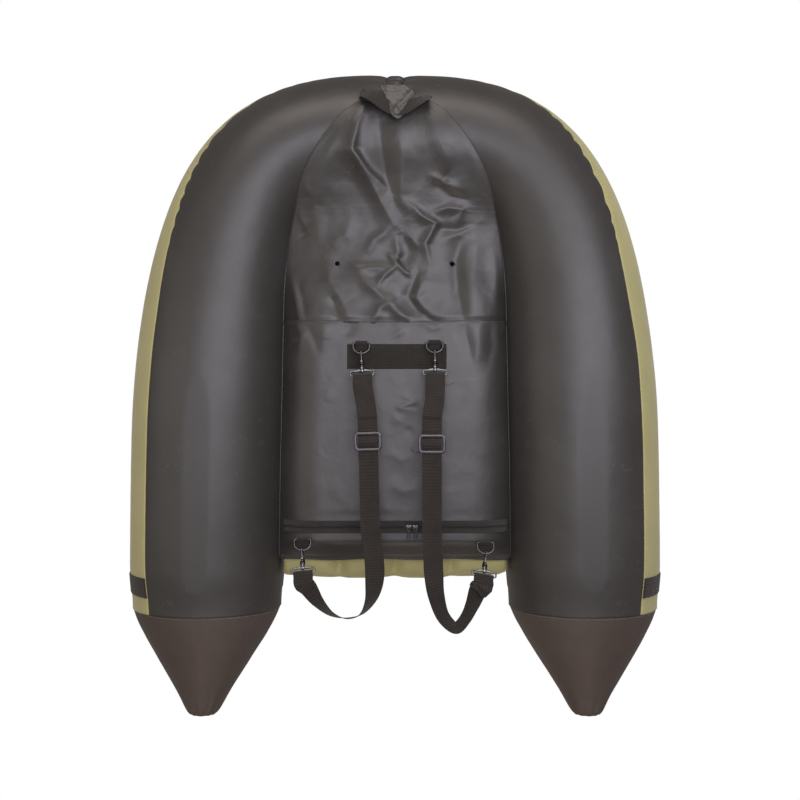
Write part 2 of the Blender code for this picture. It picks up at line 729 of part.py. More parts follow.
def build_back_strap(name, side):
    """Flat strap from the side of the backrest down to the top of the pontoon."""
    hinge = backrest_place()
    reach = BACKREST_HEIGHT * BACK_STRAP_HEIGHT_SHARE
    top = hinge + Vector((0, reach * math.sin(BACKREST_LEAN) + BACKREST_THICKNESS / 2,
                          reach * math.cos(BACKREST_LEAN)))
    top.x = BACKREST_HALF_WIDTH + GAP * 2 + WEBBING_THICKNESS
    share = BACK_STRAP_ANCHOR_SHARE
    anchor = tube_point(share, 180, GAP * 2)
    tail = anchor - Vector((0, BACK_STRAP_WIDTH * 1.5, 0))
    across = Vector((1, 0, 0)) * BACK_STRAP_WIDTH / 2
    upright = Vector((0, 0, 1)) * BACK_STRAP_WIDTH / 2
    rings = []
    turns = 9
    for k in range(turns + 1):
        t = k / turns
        centre = top.lerp(anchor, t)
        half = upright.lerp(across, ease((t - 0.4) / 0.6))
        rings.append((centre, half))
    rings.append((tail, across))
    bodies = []
    for i, (centre, half) in enumerate(rings):
        before = rings[max(i - 1, 0)][0]
        after = rings[min(i + 1, len(rings) - 1)][0]
        along = (after - before).normalized()
        normal = along.cross(half).normalized()
        thick = normal * WEBBING_THICKNESS
        ring = [centre - half, centre + half, centre + half + thick, centre - half + thick]
        bodies.append([Vector((p.x * side, p.y, p.z)) for p in ring])
    loft(name, bodies, WEBBING)


def build_rear_cover():
    """Olive cover stretched between the pontoons over the storage space, open towards the seat."""
    up = Vector((0, 0, 1))
    rings = []
    for share in REAR_COVER_SHARES:
        edge = tube_point(share, REAR_COVER_EDGE_DEGREES, GAP)
        crown = REAR_COVER_CROWN
        points = []
        for x in row_of(edge.x, PANEL_COLUMNS // 2):
            u = x / edge.x
            points.append((Vector((x, edge.y, edge.z + crown * (1 - u * u))), up))
        rings.append(sheet_ring(points, CLOTH))
    loft("rear_cover", rings, OLIVE_CLOTH, strip_caps=True)


def build_gather():
    """Pleated end piece between the two pontoons, where the covers are drawn together."""
    radius = TUBE_END_RADIUS * CLOSING_SHARES[-1][1]
    rings = []
    half = GATHER_WIDTH / 2 - GAP
    for share, size in GATHER_SHARES:
        ring = []
        steps = GATHER_PLEATS * 2
        for k in range(steps):
            turn = 2 * math.pi * k / steps
            pleat = PLEAT_DEPTH * (k % 2) * (1 - abs(share))
            r = radius * size - pleat
            ring.append(Vector((half * share, REAR_AXIS_Y + r * math.cos(turn),
                                AXIS_HEIGHT + r * math.sin(turn))))
        rings.append(ring)
    loft("rear_gather", rings, BLACK_PVC, smooth_degrees=20)


# Harness hardware: tabs, rings, hooks and eyes


class Chain:
    """One ring, hook and eye in line: where they are and how they lie.

    origin is the middle of the ring's bar, down is the direction along the chain from the
    ring to the strap, side runs along the ring's bar and face is square to both.
    """

    def __init__(self, word, x, bar_y, floor_z, slope_degrees, yaw_degrees):
        self.word = word
        loop = RING_WIRE_RADIUS + GAP + TAB_THICKNESS
        self.origin = Vector((x, bar_y, floor_z - GAP - loop))
        self.floor_z = floor_z
        slope = math.radians(slope_degrees)
        yaw = Matrix.Rotation(math.radians(yaw_degrees), 3, 'Z')
        flat_down = Vector((0, -math.cos(slope), -math.sin(slope)))
        self.ring_down = flat_down
        self.ring_side = Vector((1, 0, 0))
        self.ring_face = self.ring_side.cross(self.ring_down).normalized()
        self.down = (yaw @ flat_down).normalized()
        self.side = (yaw @ Vector((1, 0, 0))).normalized()
        self.face = self.side.cross(self.down).normalized()
        wire_centre = self.origin + self.ring_down * RING_DEPTH
        bow_clearance = HOOK_BOW_RADIUS - HOOK_WIRE_RADIUS - RING_WIRE_RADIUS - HOOK_PLAY
        self.hook_base = wire_centre + self.down * (HOOK_BOW_CENTRE + bow_clearance)
        self.eye_top = self.hook_base + self.down * GAP
        self.bar = self.eye_top + self.down * (BARREL_LENGTH + EYE_SLOT_HEIGHT + EYE_BAR_HEIGHT / 2)

    def hook_point(self, along, out, across=0.0):
        """Point in the hook's plane, along the shank from its base and out towards the gate."""
        return self.hook_base - self.down * along + self.face * out + self.side * across


def build_tab(chain):
    """Webbing tab folded round the ring's bar, with its tail on the panel."""
    hole = RING_WIRE_RADIUS + GAP
    outer = hole + TAB_THICKNESS
    top = chain.floor_z - GAP
    low = top - TAB_THICKNESS
    centre = chain.origin
    half = TAB_WIDTH / 2
    sides = 12
    rings = []
    for x in (centre.x - half, centre.x + half):
        ring = []
        for k in range(sides):
            turn = math.pi / 2 + 2 * math.pi * k / sides
            ring.append(Vector((x, centre.y + outer * math.cos(turn), centre.z + outer * math.sin(turn))))
        rings.append(ring)
    tab = loft(chain.word + "_tab", rings, WEBBING)
    tail = box(chain.word + "_tab_tail", (centre.x - half + GAP, centre.y - TAB_LENGTH, low),
               (centre.x + half - GAP, centre.y, top), WEBBING)
    join_in(tab, tail)
    reach = Vector((half + OVERRUN, 0, 0))
    cut(tab, cylinder(chain.word + "_tab_hole", hole, centre - reach, centre + reach, WEBBING, 12))


def build_ring(chain):
    """D-ring: a straight bar in the tab and a round side that carries the hook."""
    half, depth = RING_HALF_WIDTH, RING_DEPTH
    corner = RING_WIRE_RADIUS * 1.2
    points = [(-half + corner, 0), (half - corner, 0), (half, corner)]
    arc_start = depth * 0.38
    for k in range(9):
        turn = math.pi * k / 8
        points.append((half * math.cos(turn), arc_start + (depth - arc_start) * math.sin(turn)))
    points.append((-half, corner))
    places = [chain.origin + chain.ring_side * a + chain.ring_down * b for a, b in points]
    ring = wire(chain.word + "_d_ring", places, RING_WIRE_RADIUS, GUNMETAL, True, 7, chain.ring_face)
    set_origin(ring, chain.origin)


def build_hook(chain):
    """Snap hook: a bow that grips the ring, a shank that turns in the eye and a head below it."""
    r = HOOK_BOW_RADIUS
    path = [(0, 0), (HOOK_GATE_PIVOT * 0.3, 0), (HOOK_GATE_PIVOT * 0.62, -r * 0.35),
            (HOOK_GATE_PIVOT, -r * 0.82), (HOOK_GATE_PIVOT * 1.45, -r), (HOOK_BOW_CENTRE, -r)]
    for k in range(1, 6):
        turn = math.pi * k / 6
        path.append((HOOK_BOW_CENTRE + r * math.sin(turn), -r * math.cos(turn)))
    path += [(HOOK_BOW_CENTRE, r), (HOOK_NOSE, r)]
    places = [chain.hook_point(a, b) for a, b in path]
    name = chain.word + "_hook"
    bow = wire(name, places, HOOK_WIRE_RADIUS, GUNMETAL, False, 8, chain.side)
    collar = cylinder(name + "_collar", BARREL_RADIUS, chain.hook_point(0, 0),
                      chain.hook_point(HOOK_GATE_PIVOT * 0.35, 0), GUNMETAL, 12)
    join_in(bow, collar)
    knuckle_start = chain.hook_point(HOOK_GATE_PIVOT * 0.30, 0)
    knuckle_end = chain.hook_point(HOOK_GATE_PIVOT - GATE_RADIUS * 3 - GAP, r)
    join_in(bow, cylinder(name + "_knuckle", GATE_RADIUS * 1.5, knuckle_start, knuckle_end, GUNMETAL, 8))
    shank_end = chain.hook_base + chain.down * (BARREL_LENGTH + GAP * 2)
    shank = cylinder(name + "_shank", SHANK_RADIUS, chain.hook_point(HOOK_GATE_PIVOT * 0.2, 0),
                     shank_end + chain.down * GAP, GUNMETAL, 10)
    join_in(bow, shank)
    head = cylinder(name + "_head", SHANK_HEAD_RADIUS, shank_end,
                    shank_end + chain.down * SHANK_HEAD_HEIGHT, GUNMETAL, 10)
    join_in(bow, head)
    set_origin(bow, chain.hook_base)


def build_gate(chain):
    """Spring gate that closes the bow; it opens inwards about its pivot."""
    r = HOOK_BOW_RADIUS
    pivot = chain.hook_point(HOOK_GATE_PIVOT, r)
    tip = chain.hook_point(HOOK_NOSE - GAP, r)
    rod = cylinder(chain.word + "_gate", GATE_RADIUS, pivot, tip, GUNMETAL, 8)
    reach = chain.side * HOOK_WIRE_RADIUS * 0.8
    boss = cylinder(chain.word + "_gate_boss", GATE_RADIUS * 1.4, pivot - reach, pivot + reach, GUNMETAL, 8)
    join_in(rod, boss)
    set_origin(rod, pivot)


def build_eye(chain):
    """Swivel eye: a flat frame with shoulders, a slot for the strap and a barrel for the shank."""
    base = chain.eye_top + chain.down * BARREL_LENGTH
    top = -EYE_WING_HEIGHT
    low = EYE_SLOT_HEIGHT + EYE_BAR_HEIGHT
    half = EYE_HALF_WIDTH
    chamfer = EYE_BAR_HEIGHT * 0.6
    outline = [(-half, 0), (-half + chamfer * 0.6, -chamfer * 0.6), (-half * 0.55, top * 0.55),
               (-half * 0.2, top), (half * 0.2, top), (half * 0.55, top * 0.55),
               (half - chamfer * 0.6, -chamfer * 0.6), (half, 0), (half, low - chamfer),
               (half - chamfer, low), (-half + chamfer, low), (-half, low - chamfer)]
    rings = []
    for offset in (-EYE_THICKNESS / 2, EYE_THICKNESS / 2):
        rings.append([base + chain.side * a + chain.down * b + chain.face * offset for a, b in outline])
    eye = loft(chain.word + "_swivel_eye", rings, GUNMETAL)
    barrel = cylinder(chain.word + "_eye_barrel", BARREL_RADIUS, chain.eye_top, base, GUNMETAL, 12)
    join_in(eye, barrel)
    slot = bmesh.new()
    turn = Matrix((chain.side, chain.down, chain.face)).transposed().to_4x4()
    centre = base + chain.down * EYE_SLOT_HEIGHT / 2
    size = Vector((EYE_SLOT_HALF_WIDTH * 2, EYE_SLOT_HEIGHT, EYE_THICKNESS * 3))
    bmesh.ops.create_cube(slot, size=1, matrix=Matrix.Translation(centre) @ turn @ Matrix.Diagonal(size.to_4d()))
    cut(eye, finish_mesh(slot, chain.word + "_eye_slot", GUNMETAL, 0))
    bore = cylinder(chain.word + "_eye_bore", SHANK_RADIUS + GAP, chain.eye_top - chain.down * OVERRUN,
                    base + chain.down * EYE_SLOT_HEIGHT / 2, GUNMETAL, 10)
    cut(eye, bore)


# Webbing straps


def smooth_path(points, step):
    """Points about one step apart on a smooth curve through all the given ones."""
    padded = [points[0] * 2 - points[1]] + points + [points[-1] * 2 - points[-2]]
    made = []
    for i in range(1, len(padded) - 2):
        p0, p1, p2, p3 = padded[i - 1:i + 3]
        spans = [max((b - a).xyz.length, GAP) ** 0.5 for a, b in ((p0, p1), (p1, p2), (p2, p3))]
        t0, t1, t2, t3 = 0, spans[0], spans[0] + spans[1], sum(spans)
        count = max(1, round((p2 - p1).xyz.length / step))
        for k in range(count):
            t = t1 + (t2 - t1) * k / count
            a1 = p0 * ((t1 - t) / (t1 - t0)) + p1 * ((t - t0) / (t1 - t0))
            a2 = p1 * ((t2 - t) / (t2 - t1)) + p2 * ((t - t1) / (t2 - t1))
            a3 = p2 * ((t3 - t) / (t3 - t2)) + p3 * ((t - t2) / (t3 - t2))
            b1 = a1 * ((t2 - t) / (t2 - t0)) + a2 * ((t - t0) / (t2 - t0))
            b2 = a2 * ((t3 - t) / (t3 - t1)) + a3 * ((t - t1) / (t3 - t1))
            made.append(b1 * ((t2 - t) / (t2 - t1)) + b2 * ((t - t1) / (t2 - t1)))
    made.append(points[-1])
    return made


def ribbon_frame(points, i):
    """Width and face directions of the strap at one point of its route."""
    before = points[max(i - 1, 0)].xyz
    after = points[min(i + 1, len(points) - 1)].xyz
    along = (after - before).normalized()
    level = along.cross(Vector((0, 0, 1))).normalized()
    twist = math.radians(points[i].w / (HARNESS_REACH * TWIST_SHARE))
    width = level * math.cos(twist) + level.cross(along) * math.sin(twist)
    return along, width, width.cross(along).normalized()


def layer_offset(distance, bulge):
    """Distance from the strap's middle line to one of its two layers near an eye."""
    layer = (WEBBING_THICKNESS + GAP) / 2
    wrap = math.hypot(EYE_BAR_HEIGHT, EYE_THICKNESS) / 2 + GAP + WEBBING_THICKNESS / 2
    close = ease(distance / STRAP_CLOSE_RUN)
    swell = bulge * math.sin(math.pi * min(distance / STRAP_BULGE_RUN, 1)) ** 2
    return wrap + (layer - wrap) * close + swell


def turn_rows(bar, along, width, face):
    """Half turn of the strap round an eye's bar, from the tail's side to the strap's side."""
    wrap = layer_offset(0, 0)
    rows = []
    for k in range(1, 6):
        turn = math.pi * (k / 6 - 0.5)
        out = face * math.sin(turn) - along * math.cos(turn)
        rows.append((bar + out * wrap, width, out))
    return rows


def build_strap(name, route, upper_tail, lower_tail, lower_bulge):
    """Flat webbing from the upper eye to the lower one, each end folded round its bar and sewn."""
    points = smooth_path(route, STRAP_STEP)
    frames = [ribbon_frame(points, i) for i in range(len(points))]
    places = [p.xyz for p in points]
    lengths = [0.0]
    for a, b in zip(places, places[1:]):
        lengths.append(lengths[-1] + (b - a).length)
    total = lengths[-1]
    main, upper, lower = [], [], []
    for place, (along, width, face), done in zip(places, frames, lengths):
        left = total - done
        offset = max(layer_offset(done, 0), layer_offset(left, 0))
        main.append((place + face * offset, width, face))
        if done < upper_tail:
            upper.append((place - face * layer_offset(done, 0), width, -face))
        if left < lower_tail:
            lower.append((place - face * layer_offset(left, lower_bulge), width, -face))
    start = turn_rows(places[0], *frames[0])
    along, width, face = frames[-1]
    end = turn_rows(places[-1], -along, width, face)[::-1]
    rows = upper[::-1] + start + main + end + lower[::-1]
    rings = []
    for centre, width, out in rows:
        across = width * WEBBING_WIDTH / 2
        thick = out * WEBBING_THICKNESS / 2
        rings.append([centre - across - thick, centre + across - thick,
                      centre + across + thick, centre - across + thick])
    lower_start = len(rows) - len(lower)
    turned = set(range(len(upper))) | set(range(lower_start, len(rows)))
    loft(name, rings, WEBBING, smooth_degrees=30, turned=turned)
    print(name, "length", round(total + upper_tail + lower_tail, 3))


def route_point(x, y, z, degrees):
    return Vector((x, y, z, degrees * TWIST_SHARE)) * HARNESS_REACH


def strap_route(upper, lower, shares):
    """Route between two chains: along each chain's own line first, through the chosen points between."""
    lead = STRAP_CLOSE_RUN * 1.6
    start = [(upper.bar + upper.down * lead * part).to_4d() for part in (0, 0.5, 1)]
    end = [(lower.bar + lower.down * lead * part).to_4d() for part in (1, 0.5, 0)]
    for point in start + end:
        point.w = 0
    return start + [route_point(*share) for share in shares] + end


def build_adjuster(name, centre, turn_degrees):
    """Three-bar adjuster: a flat frame under the strap and a raised middle bar over it."""
    half_x, half_y = SLIDER_WIDTH / 2, SLIDER_LENGTH / 2
    bar = SLIDER_BAR
    low = -SLIDER_BAR_THICKNESS
    middle_low = WEBBING_THICKNESS + GAP * 4
    middle_top = middle_low + SLIDER_BAR_THICKNESS
    plate = bmesh.new()
    size = Vector((SLIDER_WIDTH, SLIDER_LENGTH, SLIDER_BAR_THICKNESS))
    bmesh.ops.create_cube(plate, size=1, matrix=Matrix.Translation((0, 0, low / 2)) @ Matrix.Diagonal(size.to_4d()))
    uprights = [e for e in plate.edges if abs(e.verts[0].co.z - e.verts[1].co.z) > GAP]
    bmesh.ops.bevel(plate, geom=uprights, offset=SLIDER_CORNER, segments=3, profile=0.5, affect='EDGES')
    frame = finish_mesh(plate, name, GUNMETAL, 30)
    window = box(name + "_window", (-half_x + bar, -half_y + bar, low - OVERRUN),
                 (half_x - bar, half_y - bar, OVERRUN), GUNMETAL)
    cut(frame, window)
    bridge = box(name + "_bridge", (-half_x, -bar / 2, low + GAP), (half_x, bar / 2, middle_top), GUNMETAL)
    tunnel = box(name + "_tunnel", (-half_x + bar, -bar, low - OVERRUN), (half_x - bar, bar, middle_low),
                 GUNMETAL)
    cut(bridge, tunnel)
    join_in(frame, bridge)
    place = Matrix.Translation(centre) @ Matrix.Rotation(math.radians(turn_degrees), 4, 'Z')
    for piece in (frame, window, bridge, tunnel):
        piece.matrix_world = place


# Seat pocket zipper


def build_zipper():
    half = panel_half_width(ZIPPER_Y)[0] * ZIPPER_REACH_SHARE
    wide, teeth = ZIPPER_TAPE_WIDTH / 2, ZIPPER_TEETH_WIDTH / 2
    rings = []
    for x in row_of(half, PANEL_COLUMNS + 2):
        rise = GAP + (GAP * 3 if abs(x) > half * POCKET_FLAT_SHARE else 0)
        top = pocket_z(x, ZIPPER_Y) - rise
        tape = top - ZIPPER_TAPE_THICKNESS
        ridge = tape - ZIPPER_TEETH_HEIGHT
        section = [(-wide, top), (wide, top), (wide, tape), (teeth, tape), (teeth, ridge), (-teeth, ridge),
                   (-teeth, tape), (-wide, tape)]
        rings.append([Vector((x, ZIPPER_Y + a, b)) for a, b in section])
    loft("seat_zipper", rings, WEBBING, smooth_degrees=20)


def zip_levels():
    tape = POCKET_FLOOR_Z - GAP - ZIPPER_TAPE_THICKNESS
    ridge = tape - ZIPPER_TEETH_HEIGHT
    low = ridge - GAP - ZIP_BODY_WALL
    return tape - GAP, ridge - GAP, low


def build_zip_slider(number, x):
    """Slider that straddles the teeth, with a bail along X that carries its pull."""
    top, roof, low = zip_levels()
    name = "seat_zip_slider_%d" % number
    half, wide = ZIP_BODY_LENGTH / 2, ZIP_BODY_WIDTH / 2
    body = box(name, (x - half, ZIPPER_Y - wide, low), (x + half, ZIPPER_Y + wide, top), GUNMETAL)
    teeth = ZIPPER_TEETH_WIDTH / 2 + GAP
    cut(body, box(name + "_channel", (x - half - OVERRUN, ZIPPER_Y - teeth, roof),
                  (x + half + OVERRUN, ZIPPER_Y + teeth, top + OVERRUN), GUNMETAL))
    bail_z = low - ZIP_BAIL_RADIUS * 2 - GAP
    ear = ZIP_PULL_WIDTH / 2 + GAP
    for side in (-1, 1):
        near, far = x + side * ear, x + side * (ear + ZIP_BODY_WALL)
        post = box("%s_post%d" % (name, side), (min(near, far), ZIPPER_Y - ZIP_BODY_WALL, bail_z - ZIP_BODY_WALL),
                   (max(near, far), ZIPPER_Y + ZIP_BODY_WALL, low + GAP), GUNMETAL)
        join_in(body, post)
    reach = ear + GAP
    join_in(body, cylinder(name + "_bail", ZIP_BAIL_RADIUS, Vector((x - reach, ZIPPER_Y, bail_z)),
                           Vector((x + reach, ZIPPER_Y, bail_z)), GUNMETAL, 8))
    set_origin(body, Vector((x, ZIPPER_Y, bail_z)))
    pull_name = "seat_zip_pull_%d" % number
    hole = ZIP_BAIL_RADIUS + GAP
    outer = hole + ZIP_PULL_THICKNESS / 2
    half_pull = ZIP_PULL_WIDTH / 2
    pull = cylinder(pull_name, outer, Vector((x - half_pull, ZIPPER_Y, bail_z)),
                    Vector((x + half_pull, ZIPPER_Y, bail_z)), GUNMETAL, 10)
    tail_low = bail_z - ZIP_PULL_THICKNESS / 2
    half_blade = half_pull - GAP
    blade = box(pull_name + "_blade", (x - half_blade, ZIPPER_Y - ZIP_PULL_LENGTH, tail_low),
                (x + half_blade, ZIPPER_Y - (hole + outer) / 2, tail_low + ZIP_PULL_THICKNESS), GUNMETAL)
    join_in(pull, blade)
    cut(pull, cylinder(pull_name + "_hole", hole, Vector((x - half_pull * 2, ZIPPER_Y, bail_z)),
                       Vector((x + half_pull * 2, ZIPPER_Y, bail_z)), GUNMETAL, 10))
    set_origin(pull, Vector((x, ZIPPER_Y, bail_z)))


# Patch and carry handle


def build_patch():
    top = POCKET_FLOOR_Z - GAP
    box("strap_patch", (PATCH_X - PATCH_LENGTH / 2, PATCH_Y - PATCH_WIDTH / 2, top - PATCH_THICKNESS),
        (PATCH_X + PATCH_LENGTH / 2, PATCH_Y + PATCH_WIDTH / 2, top), WEBBING)


def cover_underside(x, y):
    """Lowest height of the covers over a place near the closed end."""
    low, high = 0.8, 1.0
    for _ in range(30):
        mid = (low + high) / 2
        if spine(mid)[0].x > abs(x):
            low = mid
        else:
            high = mid
    centre = spine(low)[0]
    radius = tube_radius(low)
    return centre.z - math.sqrt(max(radius ** 2 - (y - centre.y) ** 2, 0))


def handle_height(u):
    end_x = HANDLE_HALF_SPAN + abs(HANDLE_X)
    top = cover_underside(end_x, HANDLE_Y - HANDLE_WIDTH / 2) - CLOTH * 3 - GAP * 2
    return top - HANDLE_SAG * (1 - u ** 4)


def build_handle():
    """Webbing handle in an arch from one cover to the other, with room for the fingers above it."""
    rings = []
    for u in row_of(1, 14):
        x = HANDLE_X + u * HANDLE_HALF_SPAN
        y = HANDLE_Y - HANDLE_DROP * (1 - u * u)
        z = handle_height(u)
        half = HANDLE_WIDTH / 2
        low = z - HANDLE_THICKNESS
        rings.append([Vector((x, y - half, low)), Vector((x, y + half, low)),
                      Vector((x, y + half, z)), Vector((x, y - half, z))])
    loft("carry_handle", rings, WEBBING, smooth_degrees=30)


def build_grip():
    """Tongue of coated cloth that wraps the handle's middle and ends in a rounded tip."""
    rings = []
    start_y = HANDLE_Y - HANDLE_DROP + HANDLE_WIDTH * 0.9
    for v in GRIP_SHARES:
        y = start_y - GRIP_LENGTH * v
        half = GRIP_HALF_WIDTH * max(1 - v ** 2.2, 0.02) ** 0.8
        points = []
        for x in row_of(half, 6):
            z = handle_height((x + GRIP_X) / HANDLE_HALF_SPAN) - HANDLE_THICKNESS - GAP * 2
            down = Vector((0, 0, -1))
            points.append((Vector((x + GRIP_X + HANDLE_X, y, z)), down))
        rings.append(sheet_ring(points, GRIP_THICKNESS))
    loft("handle_grip", rings, BLACK_PVC, strip_caps=True)


def centre_shift():
    """Distance along Y that puts the origin halfway between the cone tips and the closed end."""
    rear = SEAM_Y
    for share in STATION_SHARES:
        for angles in (lower_angles(share), upper_angles(share)):
            rear = max([rear] + [point.y for point in cover_ring(share, angles, 1)])
    return -(rear + SEAM_Y - CONE_LENGTH) / 2


def build_part():
    for word, side in (("left", 1), ("right", -1)):
        build_pontoon(word, side)
        build_back_strap(word + "_backrest_strap", side)
    build_pocket()
    build_storage_floor()
    build_seat()
    build_backrest()
    build_rear_cover()
    build_gather()
    build_patch()
    build_zipper()
    for number in (1, 2):
        build_zip_slider(number, ZIP_PAIR_CENTRE_X + ZIP_PAIR_SPACING * (1.5 - number))
    build_handle()
    build_grip()
    patch_face = POCKET_FLOOR_Z - GAP - PATCH_THICKNESS
    chains = {}
    for word, x, y, face, slope, yaw in (
            ("left_upper", UPPER_LEFT_RING_X, UPPER_LEFT_RING_Y, patch_face, UPPER_SLOPE, UPPER_LEFT_YAW),
            ("right_upper", UPPER_RIGHT_RING_X, UPPER_RIGHT_RING_Y, patch_face, UPPER_SLOPE, UPPER_RIGHT_YAW),
            ("left_lower", LOWER_LEFT_RING_X, LOWER_LEFT_RING_Y, POCKET_FLOOR_Z, LOWER_SLOPE, LOWER_LEFT_YAW),
            ("right_lower", LOWER_RIGHT_RING_X, LOWER_RIGHT_RING_Y, POCKET_FLOOR_Z, LOWER_SLOPE,
             LOWER_RIGHT_YAW)):
        chain = Chain(word, x, y, face, slope, yaw)
        chains[word] = chain
        build_tab(chain)
        build_ring(chain)
        build_hook(chain)
        build_gate(chain)
        build_eye(chain)
    left = strap_route(chains["left_upper"], chains["left_lower"], LEFT_ROUTE_SHARES)
    right = strap_route(chains["right_upper"], chains["right_lower"], RIGHT_ROUTE_SHARES)
    build_strap("left_strap", left, UPPER_TAIL, LOWER_TAIL, 0)
    build_strap("right_strap", right, UPPER_TAIL, LOWER_TAIL, RIGHT_LOOP_BULGE)
    layer = (WEBBING_THICKNESS + GAP) / 2
    floor_z = FLAT_RUN_SHARE * HARNESS_REACH + layer - WEBBING_THICKNESS / 2 - GAP
    for word, x_share, y_share, turn in ADJUSTER_SHARES:
        build_adjuster(word + "_adjuster", Vector((x_share * HARNESS_REACH, y_share * HARNESS_REACH, floor_z)), turn)
    frame = bpy.data.objects.new("float_tube", None)
    bpy.context.scene.collection.objects.link(frame)
    frame.location.y = centre_shift()
    for item in bpy.context.scene.objects:
        if item is not frame:
            item.parent = frame


build_part()
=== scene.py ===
# %% [markdown]
# # A float tube, seen from straight below
#
# A float tube is a small inflatable boat for one person. Two fat air tubes run back from a pair of cones
# and meet behind the seat. The photograph shows its underside: black coated cloth, an olive upper cover
# that shows as a narrow strip, a floor panel with a sewn pocket, and a clip-on carrying harness.
#
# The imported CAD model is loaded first. It fixes where everything is, so each finer piece that is made
# below is set on the same lengths and angles.

# %% Load the frame
import math
from bisect import bisect_left
from functools import lru_cache

import bmesh
import bpy
from mathutils import Matrix, Vector, bvhtree, noise


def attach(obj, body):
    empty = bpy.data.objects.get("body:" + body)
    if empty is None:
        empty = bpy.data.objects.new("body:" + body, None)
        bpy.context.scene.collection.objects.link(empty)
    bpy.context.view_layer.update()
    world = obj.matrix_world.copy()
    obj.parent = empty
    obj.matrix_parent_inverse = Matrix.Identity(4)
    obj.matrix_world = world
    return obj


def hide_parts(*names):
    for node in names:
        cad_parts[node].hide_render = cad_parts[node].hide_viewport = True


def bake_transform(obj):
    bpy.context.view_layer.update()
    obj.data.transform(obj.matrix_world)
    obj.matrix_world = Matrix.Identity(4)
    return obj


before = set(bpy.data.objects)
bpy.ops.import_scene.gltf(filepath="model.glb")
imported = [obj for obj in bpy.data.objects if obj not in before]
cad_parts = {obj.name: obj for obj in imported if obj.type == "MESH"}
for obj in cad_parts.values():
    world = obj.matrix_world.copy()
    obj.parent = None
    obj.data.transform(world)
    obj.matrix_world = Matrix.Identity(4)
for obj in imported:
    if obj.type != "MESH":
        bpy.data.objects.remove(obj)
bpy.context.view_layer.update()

# %% [markdown]
# ## Camera, floor and light
#
# The photograph was taken square to the underside, so the camera stands below the boat and looks straight
# up, with the closed end at the top of the picture. The floor is for the views from above. It would hide
# the boat from below, so its shader lets through every ray that meets its lower face, and it throws no
# shadow on the boat.
#
# The soft highlight runs down each tube a little to the right of its middle. That puts one large soft
# light to the right of the camera, and a weaker one on the left opens the shadows.

# %% Camera
# The solid model is centred on the boat's middle by this shift, so the lengths below are given before it
SHIFT_Y = 0.0071
CAMERA_PLACE = Vector((-0.0104, SHIFT_Y - 0.0125, -2.242))
FOCAL_LENGTH_MM = 51.84
FLOOR_HALF_SIZE, FLOOR_Z = 6.0, -0.001


def add_object(name, data):
    made = bpy.data.objects.new(name, data)
    bpy.context.scene.collection.objects.link(made)
    return made


camera = add_object("camera", bpy.data.cameras.new("camera"))
camera.data.lens = FOCAL_LENGTH_MM
camera.location = CAMERA_PLACE
camera.rotation_euler = (0, math.pi, 0)
bpy.context.scene.camera = camera
bpy.context.scene.view_settings.view_transform = "Standard"


# %% One function that turns a hex colour linear, and one that adds a node
def hex_colour(code):
    parts = [int(code[i:i + 2], 16) / 255 for i in (0, 2, 4)]
    return [c / 12.92 if c <= 0.04045 else ((c + 0.055) / 1.055) ** 2.4 for c in parts] + [1]


def add_node(tree, kind, feeds=None, **settings):
    """Add a shader node; feeds maps a socket's name or number to a value, an output, or a node for its first."""
    node = tree.nodes.new("ShaderNode" + kind)
    for key, value in settings.items():
        setattr(node, key, value)
    for socket, value in (feeds or {}).items():
        value = value.outputs[0] if isinstance(value, bpy.types.Node) else value
        if isinstance(value, bpy.types.NodeSocket):
            tree.links.new(value, node.inputs[socket])
        else:
            node.inputs[socket].default_value = value
    return node


def new_finish(name):
    """A material without nodes, and its node tree."""
    made = bpy.data.materials.new(name)
    made.use_nodes = True
    made.node_tree.nodes.clear()
    return made, made.node_tree


def close_finish(tree, shader):
    add_node(tree, "OutputMaterial", {"Surface": shader})


# %% Floor that is clear from below
def mesh_from(bm, name):
    data = bpy.data.meshes.new(name)
    bm.to_mesh(data)
    bm.free()
    return data


floor_mesh = bmesh.new()
bmesh.ops.create_grid(floor_mesh, x_segments=1, y_segments=1, size=FLOOR_HALF_SIZE)
studio_floor = add_object("studio_floor", mesh_from(floor_mesh, "studio_floor"))
studio_floor.location.z = FLOOR_Z
floor_finish, tree = new_finish("pale_paper_floor")
facing = add_node(tree, "NewGeometry")
paper = add_node(tree, "BsdfDiffuse", {"Color": hex_colour("EDEBE8")})
clear = add_node(tree, "BsdfTransparent")
mixed = add_node(tree, "MixShader",
                 {0: facing.outputs["Backfacing"], 1: paper, 2: clear})
close_finish(tree, mixed)
studio_floor.data.materials.append(floor_finish)
studio_floor.visible_shadow = False
studio_floor.visible_diffuse = False
studio_floor.visible_glossy = False


# %% Soft boxes and the pale surround
def soft_box(name, place, target, width, length, watts, code):
    light = add_object(name, bpy.data.lights.new(name, "AREA"))
    light.data.shape = "RECTANGLE"
    light.data.size, light.data.size_y = width, length
    light.data.energy = watts
    light.data.color = hex_colour(code)[:3]
    light.location = place
    light.rotation_euler = (Vector(target) - Vector(place)).to_track_quat("-Z", "Y").to_euler()
    return light


soft_box("box_right", (-0.80, 0.5, -2.45), (0, 0.25, 0), 1.1, 3.4, 82, "F4F3FF")
soft_box("box_left", (2.0, 0.2, -1.5), (0, 0, 0.1), 1.4, 2.6, 15, "FFF6EC")
soft_box("box_closed_end", (0.1, 2.7, -1.7), (0, 0.3, 0.1), 2.6, 1.2, 56, "FFF5EC")
soft_box("box_cones", (0.1, -2.5, -1.2), (0, -0.5, 0.1), 2.4, 0.9, 16, "FFE9D6")
